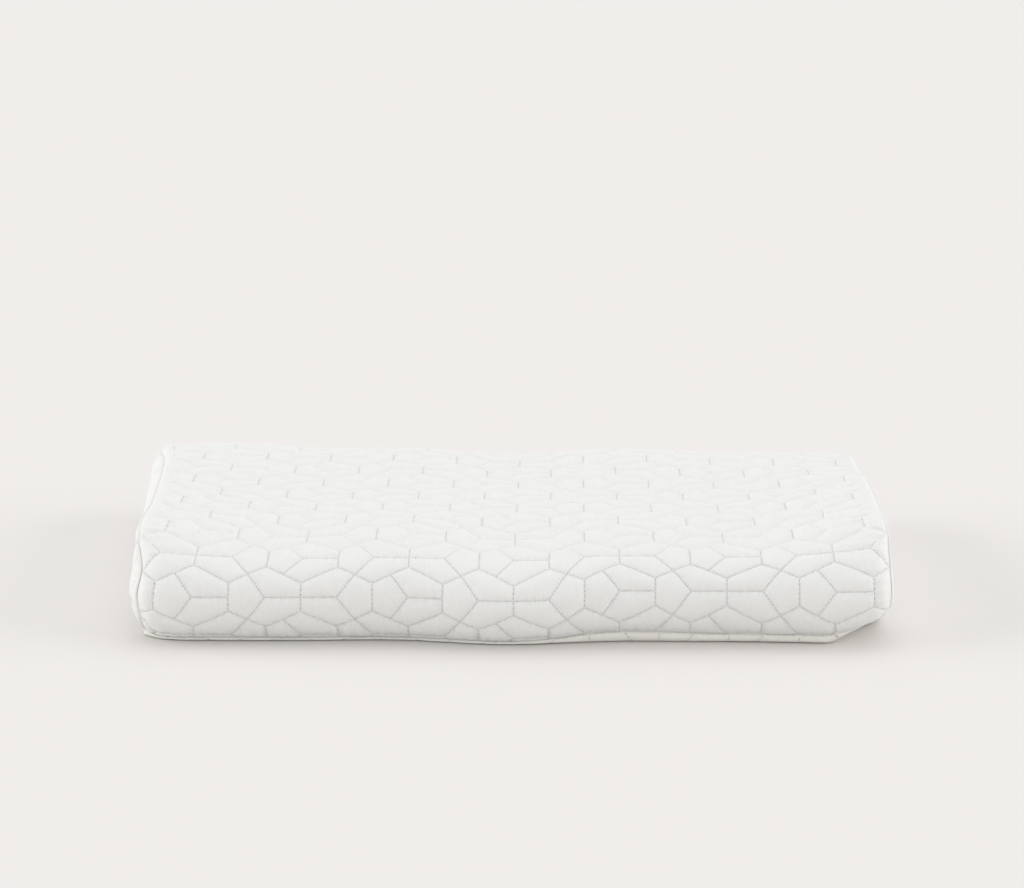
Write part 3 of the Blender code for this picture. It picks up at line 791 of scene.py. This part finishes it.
class Piece:
    """Points and faces of one piece, with a cloth map and a stitch map for each face's corners."""

    FAR = (0.0, 1.0)

    def __init__(self):
        self.points = []
        self.faces = []
        self.cloth = []
        self.stitch = []
        self.count = 0

    def add(self, points, faces, cloth, stitch=None):
        """Adds faces; cloth gives each point's place on flat cloth, stitch each corner's stitch map."""
        faces = [tuple(int(i) for i in face) for face in faces]
        self.points.append(np.asarray(points, float))
        self.faces += [tuple(i + self.count for i in face) for face in faces]
        self.count += len(points)
        for face in faces:
            self.cloth += [tuple(cloth[i]) for i in face]
        if stitch is None:
            self.stitch += [self.FAR] * sum(len(face) for face in faces)
        else:
            self.stitch += [tuple(uv) for uv in stitch.reshape(-1, 2)]

    def make(self, name, material, weld=0.000001):
        """Makes the object: maps laid on, points welded and faces turned outward."""
        mesh = bpy.data.meshes.new(name)
        mesh.from_pydata(np.vstack(self.points), [], self.faces)
        for map_name, values in (("cloth", self.cloth), ("stitch", self.stitch)):
            layer = mesh.uv_layers.new(name=map_name)
            layer.data.foreach_set("uv", np.array(values, np.float32).ravel())
        bm = bmesh.new()
        bm.from_mesh(mesh)
        bmesh.ops.remove_doubles(bm, verts=bm.verts[:], dist=weld)
        bmesh.ops.triangulate(bm, faces=[face for face in bm.faces if len(face.verts) > 4])
        bmesh.ops.recalc_face_normals(bm, faces=bm.faces[:])
        if bm.calc_volume(signed=True) < 0:
            bmesh.ops.reverse_faces(bm, faces=bm.faces[:])
        bm.to_mesh(mesh)
        bm.free()
        mesh.shade_smooth()
        mesh.materials.append(material)
        piece = bpy.data.objects.new(name, mesh)
        bpy.context.scene.collection.objects.link(piece)
        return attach(piece, "root")


def make_long_panel(panel, ends, loop, material):
    """The filled long panel, closed by plain ends and a plain underside behind the other panels."""
    points, flat, triangles, _, _ = panel
    piece = Piece()
    middles = flat[triangles].mean(1)
    away = TUCK_FADE * ease(middles[:, 1] / ROW, *SINK_ROWS) + STITCH_MARGIN * smooth_share(middles)
    piece.add(points, triangles, flat, stitch_map(flat, triangles, away=away))
    for places, faces in ends:
        piece.add(places, faces, places[:, 1:])
    rings = base_rings(loop, PANEL_THICKNESS + GAP, FILLING_FOOT)
    count = len(loop)
    under = np.vstack(rings)
    cap = tuple(range((len(rings) - 1) * count, len(rings) * count))
    piece.add(under, ring_faces(0, len(rings), count) + [cap], under[:, :2])
    return piece.make("long_panel", material)


def make_end_panel(name, edge, outward, bulge, inner, material):
    """An end panel: quilted outside, plain inside, a gap away from the filling."""
    coarse = edge[::FINER, 1:]
    flat, triangles, loop, lines = fine_layout(coarse, END_COLUMNS, END_ROWS, END_QUILT_SHIFT)
    flat[loop] = edge[:, 1:]
    outer = end_surface(edge, flat, outward, bulge)
    outer[loop, 0] = edge[:, 0] + outward * (GAP + RIM_THICKNESS)
    piece = Piece()
    piece.add(outer, triangles, flat, stitch_map(flat, triangles, END_QUILT_SHIFT))
    places = inner[0] + (outward * GAP, 0, 0)
    piece.add(places, inner[1], places[:, 1:])
    rims = np.vstack([places[: len(edge)], outer[loop]])
    piece.add(rims, ring_faces(0, 2, len(edge)), rims[:, 1:])
    return piece.make(name, material), lines


class Rim:
    """The base panel's rim laid out flat: along the seam from the front left corner, and down."""

    def __init__(self, rings):
        rings = np.array(rings)
        ways = np.linalg.norm(np.diff(rings, axis=0), axis=2)
        down = np.concatenate([np.zeros((1, rings.shape[1])), np.cumsum(ways, axis=0)])
        steps = np.linspace(0, 1, RIM_STEPS + 1)
        self.depth = down[-1]
        self.count = rings.shape[1]
        self.points = np.empty((RIM_STEPS + 1, self.count, 3))
        for i in range(self.count):
            for axis in range(3):
                self.points[:, i, axis] = np.interp(steps * self.depth[i], down[:, i], rings[:, i, axis])
        gaps = np.linalg.norm(np.diff(rings[0], axis=0), axis=1)
        self.far = rings[0, 0, 0] + np.concatenate([[0], np.cumsum(gaps)])
        self.flat = np.stack([np.tile(self.far, (RIM_STEPS + 1, 1)), -steps[:, None] * self.depth], axis=-1)
        raised = RIM_PUFF * puff_share(self.nearest(self.flat.reshape(-1, 2))).reshape(RIM_STEPS + 1, -1)
        raised = raised * (1 - steps[:, None]) * ease(steps[:, None], 0, RIM_PUFF_START)
        self.points[..., :2] -= seam_inward(rings[0]) * raised[..., None]

    def nearest(self, flat):
        """Distance of flat places to the nearest stitched line."""
        return nearest_stitch_line(flat - np.array(RIM_QUILT_SHIFT))[1]

    def surface(self, flat):
        """Places in space of flat places."""
        at = np.clip(np.interp(flat[:, 0], self.far, np.arange(self.count)), 0, self.count - 1.001)
        deep = np.interp(flat[:, 0], self.far, self.depth)
        down = np.clip(-flat[:, 1] / deep, 0, 0.999) * RIM_STEPS
        i, k = at.astype(int), down.astype(int)
        a, b = (at - i)[:, None], (down - k)[:, None]
        upper = self.points[k, i] * (1 - a) + self.points[k, i + 1] * a
        lower = self.points[k + 1, i] * (1 - a) + self.points[k + 1, i + 1] * a
        return upper * (1 - b) + lower * b

    def lines(self):
        """The stitched lines that cross the rim."""
        kept = []
        for line in stitch_lines(RIM_COLUMNS, range(0, 1)):
            samples = np.linspace(*(np.array(line) + RIM_QUILT_SHIFT), TRIM_STEPS)
            inside = (samples[:, 1] < -STITCH_MARGIN / 2) & (samples[:, 1] > -RIM_LINE_DEPTH)
            inside &= (samples[:, 0] > self.far[0]) & (samples[:, 0] < self.far[-1])
            if inside.sum() > FEWEST_STEPS:
                kept.append((samples[inside][0], samples[inside][-1]))
        return np.array(kept)


def make_base(loop, material):
    """The base panel: a shallow tray under the seam, its underside quilted a little and flat to rest on."""
    rim = loop - (0, 0, GAP)
    top = base_rings(rim, PANEL_THICKNESS, FILLING_FOOT)
    under = base_rings(rim, 0.0, PANEL_FOOT)
    count = len(loop)
    piece = Piece()
    inside = np.vstack(top)
    cap = tuple(range((len(top) - 1) * count, len(top) * count))
    piece.add(inside, ring_faces(0, len(top), count) + [cap], inside[:, :2])
    outside = Rim(under)
    faces = np.array(ring_faces(0, RIM_STEPS + 1, count))
    flat = outside.flat.reshape(-1, 2)
    piece.add(outside.points.reshape(-1, 3), faces, flat, stitch_map(flat, faces, RIM_QUILT_SHIFT))
    join = np.vstack([top[0], under[0]])
    piece.add(join, ring_faces(0, 2, count), join[:, :2])

    edge = under[-1][:, :2]
    flat, triangles, edge_loop, lines = fine_layout(edge[::FINER], BASE_COLUMNS, BASE_ROWS)
    flat[edge_loop] = edge
    to_edge = outline_distance(flat, edge[::FINER])
    to_stitches = nearest_stitch_line(flat)[1]
    drawn_up = BASE_PUFF * np.exp(-to_stitches / PUFF_RISE) * ease(to_edge, 0.0, RIM_WIDTH)
    drawn_up[edge_loop] = 0.0
    piece.add(np.column_stack([flat, drawn_up]), triangles, flat, stitch_map(flat, triangles))
    return piece.make("base_panel_cloth", material), outside


def stitch_shape():
    """One stitch: four sides round its middle part, drawn to a point at both ends. Length 1 on x."""
    square = ((0.0, 0.5), (0.5, 0.0), (0.0, -0.5), (-0.5, 0.0))
    points = [(-0.5, 0.0, 0.0)]
    points += [(x, y, z) for x in (-STRAIGHT_HALF, STRAIGHT_HALF) for y, z in square]
    points += [(0.5, 0.0, 0.0)]
    faces = [(0, 1 + (i + 1) % 4, 1 + i) for i in range(4)]
    faces += [(1 + i, 1 + (i + 1) % 4, 5 + (i + 1) % 4, 5 + i) for i in range(4)]
    faces += [(9, 5 + i, 5 + (i + 1) % 4) for i in range(4)]
    return np.array(points), faces


def make_stitches(name, centres, along, up, sizes, threads, materials):
    """One piece of many stitches, each at a centre, along a direction, with its own size and thread."""
    shape, shape_faces = stitch_shape()
    along = unit(along)
    up = unit(up - (up * along).sum(-1, keepdims=True) * along)
    side = np.cross(up, along)
    scaled = shape[None] * sizes[:, None, :]
    points = centres[:, None] + scaled[..., 0:1] * along[:, None] + scaled[..., 1:2] * side[:, None]
    points = points + scaled[..., 2:3] * up[:, None]
    count = len(shape)
    faces = [tuple(i + s * count for i in face) for s in range(len(centres)) for face in shape_faces]
    mesh = bpy.data.meshes.new(name)
    mesh.from_pydata(points.reshape(-1, 3), [], faces)
    mesh.shade_smooth()
    for material in materials:
        mesh.materials.append(material)
    mesh.polygons.foreach_set("material_index", np.repeat(threads, len(shape_faces)).astype(np.int32))
    piece = bpy.data.objects.new(name, mesh)
    bpy.context.scene.collection.objects.link(piece)
    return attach(piece, "root")


def stitch_row(lines):
    """Centre, direction, size, thread and sink of every stitch on flat lines."""
    centres, along, sizes, threads, sinks = [], [], [], [], []
    for start, end in lines:
        _, length, width, height, thread, sink = stitch_kind(end - start)
        count = stitch_count((start, end))
        for i in range(count):
            centres.append(start + (end - start) * (i + 0.5) / count)
            along.append((end - start) / np.linalg.norm(end - start))
            sizes.append((length, width, height))
            threads.append(thread)
            sinks.append(sink)
    return [np.array(values) for values in (centres, along, sizes, threads, sinks)]


def quilting_stitches(name, lines, surface, materials, sunk=0.0):
    """Stitches along a quilted panel's lines, laid on its surface function and sunk behind the nose."""
    centres, along, sizes, threads, sinks = stitch_row(lines)
    if sunk:
        shown = smooth_share(centres) < 0.5
        centres, along, sizes, threads, sinks = [v[shown] for v in (centres, along, sizes, threads, sinks)]
    step = STITCH_PROBE
    before, after = surface(centres - step * along), surface(centres + step * along)
    side = np.column_stack([-along[:, 1], along[:, 0]])
    left, right = surface(centres + step * side), surface(centres - step * side)
    up = unit(np.cross(after - before, left - right))
    lift = STITCH_LIFT - sunk * sinks * ease(centres[:, 1] / ROW, *SINK_ROWS)
    places = surface(centres) + lift[:, None] * up
    return make_stitches(name, places, after - before, up, sizes, threads, materials)


def resample(path, step):
    """A path's points, and whatever stands beside them, at an even step along it."""
    lengths = np.concatenate([[0], np.cumsum(np.linalg.norm(np.diff(path[:, :3], axis=0), axis=1))])
    count = max(2, round(lengths[-1] / step))
    at = np.linspace(0, lengths[-1], count + 1)
    return np.column_stack([np.interp(at, lengths, values) for values in path.T])


def make_roll(name, path, radius, closed, material):
    """A turned seam: a slim roll of cloth along a path, gathered at each of its stitches."""
    path = np.column_stack([path, radius])
    if closed:
        path = np.vstack([path, path[:1]])
    path = resample(path, ROLL_STEP)
    if closed:
        path = path[:-1]
    path, radius = path[:, :3], path[:, 3]
    if closed:
        along = unit(np.roll(path, -1, axis=0) - np.roll(path, 1, axis=0))
    else:
        along = unit(np.gradient(path, axis=0))
    side = unit(np.cross(along, ACROSS_ALL_SEAMS))
    up = np.cross(side, along)
    far = np.arange(len(path)) * ROLL_STEP
    radius = radius * (1 + ROLL_GATHER * np.cos(2 * math.pi * far / ROLL_GATHER_PITCH))
    if not closed:
        radius[[0, -1]] *= ROLL_END_SHARE
    turns = np.linspace(0, 2 * math.pi, ROLL_SIDES, endpoint=False)
    ring = np.cos(turns)[None, :, None] * side[:, None] + np.sin(turns)[None, :, None] * up[:, None]
    points = (path[:, None] + radius[:, None, None] * ring).reshape(-1, 3)
    rows = len(path) if closed else len(path) - 1
    faces = []
    for i in range(rows):
        low, high = i * ROLL_SIDES, (i + 1) % len(path) * ROLL_SIDES
        for k in range(ROLL_SIDES):
            m = (k + 1) % ROLL_SIDES
            faces.append((low + k, low + m, high + m, high + k))
    if not closed:
        faces.append(tuple(range(ROLL_SIDES)))
        faces.append(tuple(range(len(points) - ROLL_SIDES, len(points))))
    round_it = np.tile(turns, len(path)) * np.repeat(radius, ROLL_SIDES)
    cloth = np.column_stack([round_it, np.repeat(far, ROLL_SIDES)])
    piece = Piece()
    piece.add(points, faces, cloth)
    return piece.make(name, material)


def add_node(tree, kind, settings=None, **inputs):
    """A shader node with its settings; an input takes a value, or a socket to link."""
    node = tree.nodes.new(kind)
    for key, value in (settings or {}).items():
        setattr(node, key, value)
    for key, value in inputs.items():
        by_number = key[0] == "i" and key[1:].isdigit()
        socket = node.inputs[int(key[1:]) if by_number else key.replace("_", " ")]
        if isinstance(value, bpy.types.NodeSocket):
            tree.links.new(value, socket)
        else:
            socket.default_value = value
    return node


def calculate(tree, operation, *values, clamp=False):
    """A math node on values or sockets; gives its output."""
    inputs = {f"i{i}": value for i, value in enumerate(values)}
    settings = {"operation": operation, "use_clamp": clamp}
    return add_node(tree, "ShaderNodeMath", settings, **inputs).outputs[0]


def new_group(name, inputs, outputs):
    """An empty shader group with vector inputs and value outputs."""
    tree = bpy.data.node_groups.new(name, "ShaderNodeTree")
    for socket in inputs:
        tree.interface.new_socket(name=socket, in_out="INPUT", socket_type="NodeSocketVector")
    for socket in outputs:
        tree.interface.new_socket(name=socket, in_out="OUTPUT", socket_type="NodeSocketFloat")
    return tree, tree.nodes.new("NodeGroupInput"), tree.nodes.new("NodeGroupOutput")


def knit_group():
    """Fine ribs and uneven yarn by the place on flat cloth: relief in millimetres, and a yarn mask."""
    tree, source, result = new_group("rib_knit", ["Cloth"], ["Relief", "Yarn"])
    place = add_node(tree, "ShaderNodeSeparateXYZ", i0=source.outputs["Cloth"])
    ribs = calculate(tree, "SINE", calculate(tree, "MULTIPLY", place.outputs[0], 2 * math.pi / RIB_PITCH))
    stretched = add_node(tree, "ShaderNodeVectorMath", {"operation": "MULTIPLY"}, i0=source.outputs["Cloth"])
    stretched.inputs[1].default_value = (1 / RIB_PITCH, 1 / COURSE_PITCH, 1.0)
    yarn = add_node(tree, "ShaderNodeTexNoise", {"noise_dimensions": "2D"}, Vector=stretched.outputs[0])
    yarn.inputs["Scale"].default_value = 0.9
    yarn.inputs["Detail"].default_value = 2.0
    patchy = add_node(tree, "ShaderNodeTexNoise", {"noise_dimensions": "2D"}, Vector=stretched.outputs[0])
    patchy.inputs["Scale"].default_value = 0.35
    even_ribs = calculate(tree, "MULTIPLY", ribs, RIB_RELIEF)
    rib_relief = calculate(tree, "MULTIPLY", even_ribs, patchy.outputs["Fac"])
    relief = calculate(tree, "MULTIPLY_ADD", yarn.outputs["Fac"], FLECK_RELIEF, rib_relief)
    tree.links.new(relief, result.inputs["Relief"])
    tree.links.new(yarn.outputs["Fac"], result.inputs["Yarn"])
    return tree


def tuck_group():
    """Tucks and puckers by stitched lines: relief in millimetres, and a tuck mask for painted shade."""
    tree, source, result = new_group("stitched_tucks", ["Stitch"], ["Relief", "Tuck"])
    place = add_node(tree, "ShaderNodeSeparateXYZ", i0=source.outputs["Stitch"])
    along, across = place.outputs[0], calculate(tree, "ABSOLUTE", place.outputs[1])
    wave = calculate(tree, "COSINE", calculate(tree, "MULTIPLY", along, 2 * math.pi))
    near = calculate(tree, "EXPONENT", calculate(tree, "MULTIPLY", across, -1 / PUCKER_REACH))
    past_middle = calculate(tree, "SUBTRACT", calculate(tree, "FRACT", along), 0.5)
    from_stitch = calculate(tree, "ABSOLUTE", past_middle)
    long_part = calculate(tree, "POWER", calculate(tree, "MULTIPLY", from_stitch, 1 / TUCK_LENGTH), 2.0)
    wide_part = calculate(tree, "POWER", calculate(tree, "MULTIPLY", across, 1 / TUCK_WIDTH), 2.0)
    apart = calculate(tree, "ADD", long_part, wide_part)
    tuck = calculate(tree, "EXPONENT", calculate(tree, "MULTIPLY", apart, -1.0))
    pucker = calculate(tree, "MULTIPLY", calculate(tree, "MULTIPLY", wave, near), PUCKER_RELIEF)
    relief = calculate(tree, "MULTIPLY_ADD", tuck, -TUCK_RELIEF, pucker)
    tree.links.new(relief, result.inputs["Relief"])
    tree.links.new(tuck, result.inputs["Tuck"])
    return tree


def cloth_material(name, colour, knit, tucks):
    """Matt knit cloth: ribs and tucks as relief, yarn as a faint tone, painted shade in the tucks."""
    material = bpy.data.materials.new(name)
    material.use_nodes = True
    tree = material.node_tree
    surface = tree.nodes["Principled BSDF"]
    surface.inputs["Roughness"].default_value = 0.92
    surface.inputs["Specular IOR Level"].default_value = 0.15
    surface.inputs["Sheen Weight"].default_value = 0.10
    cloth_map = add_node(tree, "ShaderNodeUVMap", {"uv_map": "cloth"})
    stitch_map_node = add_node(tree, "ShaderNodeUVMap", {"uv_map": "stitch"})
    knit_node = add_node(tree, "ShaderNodeGroup", {"node_tree": knit}, Cloth=cloth_map.outputs[0])
    tuck_node = add_node(tree, "ShaderNodeGroup", {"node_tree": tucks}, Stitch=stitch_map_node.outputs[0])
    relief = calculate(tree, "ADD", knit_node.outputs["Relief"], tuck_node.outputs["Relief"])
    bump = add_node(tree, "ShaderNodeBump", Height=relief, Strength=1.0, Distance=0.001)
    tree.links.new(bump.outputs[0], surface.inputs["Normal"])
    yarn_tone = calculate(tree, "MULTIPLY_ADD", knit_node.outputs["Yarn"], 0.05, 0.975)
    # Painted shade: the colour is darkened in each tuck's dimple, where its shadow would fall
    yarn_tone_with_painted_shade = calculate(tree, "MULTIPLY_ADD", tuck_node.outputs["Tuck"], -TUCK_PAINTED_SHADE, yarn_tone)
    tinted = add_node(tree, "ShaderNodeVectorMath", {"operation": "SCALE"}, Scale=yarn_tone_with_painted_shade)
    tinted.inputs[0].default_value = colour[:3]
    tree.links.new(tinted.outputs[0], surface.inputs["Base Color"])
    return material


def plain_material(name, colour, roughness):
    material = bpy.data.materials.new(name)
    material.use_nodes = True
    surface = material.node_tree.nodes["Principled BSDF"]
    surface.inputs["Base Color"].default_value = colour
    surface.inputs["Roughness"].default_value = roughness
    surface.inputs["Specular IOR Level"].default_value = 0.1
    return material


def make_floor():
    bm = bmesh.new()
    bmesh.ops.create_grid(bm, x_segments=1, y_segments=1, size=FLOOR_REACH)
    mesh = bpy.data.meshes.new("pale_floor")
    bm.to_mesh(mesh)
    bm.free()
    mesh.materials.append(plain_material("pale_floor", FLOOR_COLOUR, 1.0))
    floor = bpy.data.objects.new("pale_floor", mesh)
    floor.location.z = -FLOOR_DROP
    bpy.context.scene.collection.objects.link(floor)


def make_lights():
    world = bpy.data.worlds.new("studio")
    world.use_nodes = True
    around = world.node_tree.nodes["Background"]
    around.inputs["Color"].default_value = AROUND_COLOUR
    around.inputs["Strength"].default_value = AROUND_STRENGTH
    bpy.context.scene.world = world
    for name, (strength, turn, height, spread) in SUNS.items():
        light = bpy.data.lights.new(name, "SUN")
        light.energy = strength
        light.angle = math.radians(spread)
        lamp = bpy.data.objects.new(name, light)
        lamp.rotation_euler = (math.radians(90 - height), 0, math.radians(turn))
        bpy.context.scene.collection.objects.link(lamp)


def make_camera():
    data = bpy.data.cameras.new("camera")
    data.sensor_width = 36
    data.lens = FOCAL
    data.clip_end = 100
    camera = bpy.data.objects.new("camera", data)
    camera.location = CAMERA_PLACE
    camera.rotation_euler = (math.radians(90 - TILT), 0, math.radians(TURN))
    bpy.context.scene.collection.objects.link(camera)
    bpy.context.scene.camera = camera


def end_roll(name, edge_at, inward, material):
    """The turned seam along one end of the long panel."""
    rows = np.linspace(END_ROLL[0][0] + ROLL_MARGIN, BACK_EDGE - ROLL_MARGIN, ROLL_SAMPLES)
    flat = np.column_stack([edge_at(rows) * CELL + inward * smooth_table(END_ROLL, 2, rows), rows * ROW])
    lift = smooth_table(END_ROLL, 3, rows)[:, None]
    path = long_panel_surface(flat, raised=0.0) + lift * panel_normal(flat[:, 0] / CELL, rows)
    return make_roll(name, path, smooth_table(END_ROLL, 1, rows), False, material)


def build():
    knit, tucks = knit_group(), tuck_group()
    cover = cloth_material("quilted_knit", COVER_COLOUR, knit, tucks)
    # The base cloth: the same knit painted lighter, painted light against the shade on its rim
    base_cloth_painted_lighter = cloth_material("base_knit", BASE_COLOUR_PAINTED_LIGHTER, knit, tucks)
    # One thread as two materials: a copy with painted shade, and a paler, lit copy
    thread_painted_shade = plain_material("thread_painted_shade", THREAD_PAINTED_SHADE_COLOUR, 0.85)
    thread_painted_light = plain_material("thread_painted_light", THREAD_PAINTED_LIGHT_COLOUR, 0.85)

    panel = long_panel()
    points, flat, triangles, edge_loop, lines = panel
    edge = points[edge_loop]
    long_count, side_count = LONG_STEPS * FINER, SIDE_STEPS * FINER
    half_round = long_count + side_count
    front = edge[: long_count + 1]
    right = edge[long_count : half_round + 1]
    back = edge[half_round : half_round + long_count + 1]
    left = np.vstack([edge[half_round + long_count :], edge[:1]])

    right_foot = base_run(front[-1], back[0])
    left_foot = base_run(back[-1], front[0])
    loop = np.vstack([front, right_foot, back, left_foot])
    right_rim = np.vstack([right, right_foot[::-1]])
    left_rim = np.vstack([left, left_foot[::-1]])
    right_end = end_face(right_rim, 1, RIGHT_BULGE)
    left_end = end_face(left_rim, -1, LEFT_BULGE)

    body = make_long_panel(panel, (left_end, right_end), loop, cover)
    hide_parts("pillow_body")
    left_panel, left_lines = make_end_panel("left_end_cloth", left_rim, -1, LEFT_BULGE, left_end, cover)
    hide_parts("end_panel_left")
    right_panel, right_lines = make_end_panel("right_end_cloth", right_rim, 1, RIGHT_BULGE, right_end, cover)
    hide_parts("end_panel_right")
    base, rim = make_base(loop, base_cloth_painted_lighter)
    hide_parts("base_panel")

    rolls = [
        end_roll("left_seam_roll", left_edge, 1, cover),
        end_roll("right_seam_roll", right_edge, -1, cover),
    ]
    outward = np.column_stack([-seam_inward(loop), np.zeros(len(loop))])
    foot_radius, foot_out, foot_rise = FOOT_ROLL
    foot_path = loop + foot_out * outward + (0, 0, foot_rise)
    rolls.append(make_roll("foot_seam_roll", foot_path, np.full(len(loop), foot_radius), True, cover))

    # The stitches' two thread copies: the one with painted shade first, then the lit one
    threads = (thread_painted_shade, thread_painted_light)

    def left_surface(flat):
        return end_surface(left_rim, flat, -1, LEFT_BULGE)

    def right_surface(flat):
        return end_surface(right_rim, flat, 1, RIGHT_BULGE)

    stitches = [
        quilting_stitches("panel_stitches", lines, long_panel_surface, threads, sunk=1.0),
        quilting_stitches("left_end_stitches", left_lines, left_surface, threads),
        quilting_stitches("right_end_stitches", right_lines, right_surface, threads),
        quilting_stitches("rim_stitches", rim.lines(), rim.surface, threads),
    ]


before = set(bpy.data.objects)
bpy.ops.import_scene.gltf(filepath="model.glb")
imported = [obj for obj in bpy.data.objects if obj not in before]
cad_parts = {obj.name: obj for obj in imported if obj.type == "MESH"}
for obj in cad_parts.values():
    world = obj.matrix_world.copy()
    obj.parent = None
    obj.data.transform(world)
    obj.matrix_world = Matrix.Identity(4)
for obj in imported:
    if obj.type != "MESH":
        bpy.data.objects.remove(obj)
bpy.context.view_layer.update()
build()
make_floor()
make_lights()
make_camera()
bpy.context.scene.view_settings.view_transform = "Standard"
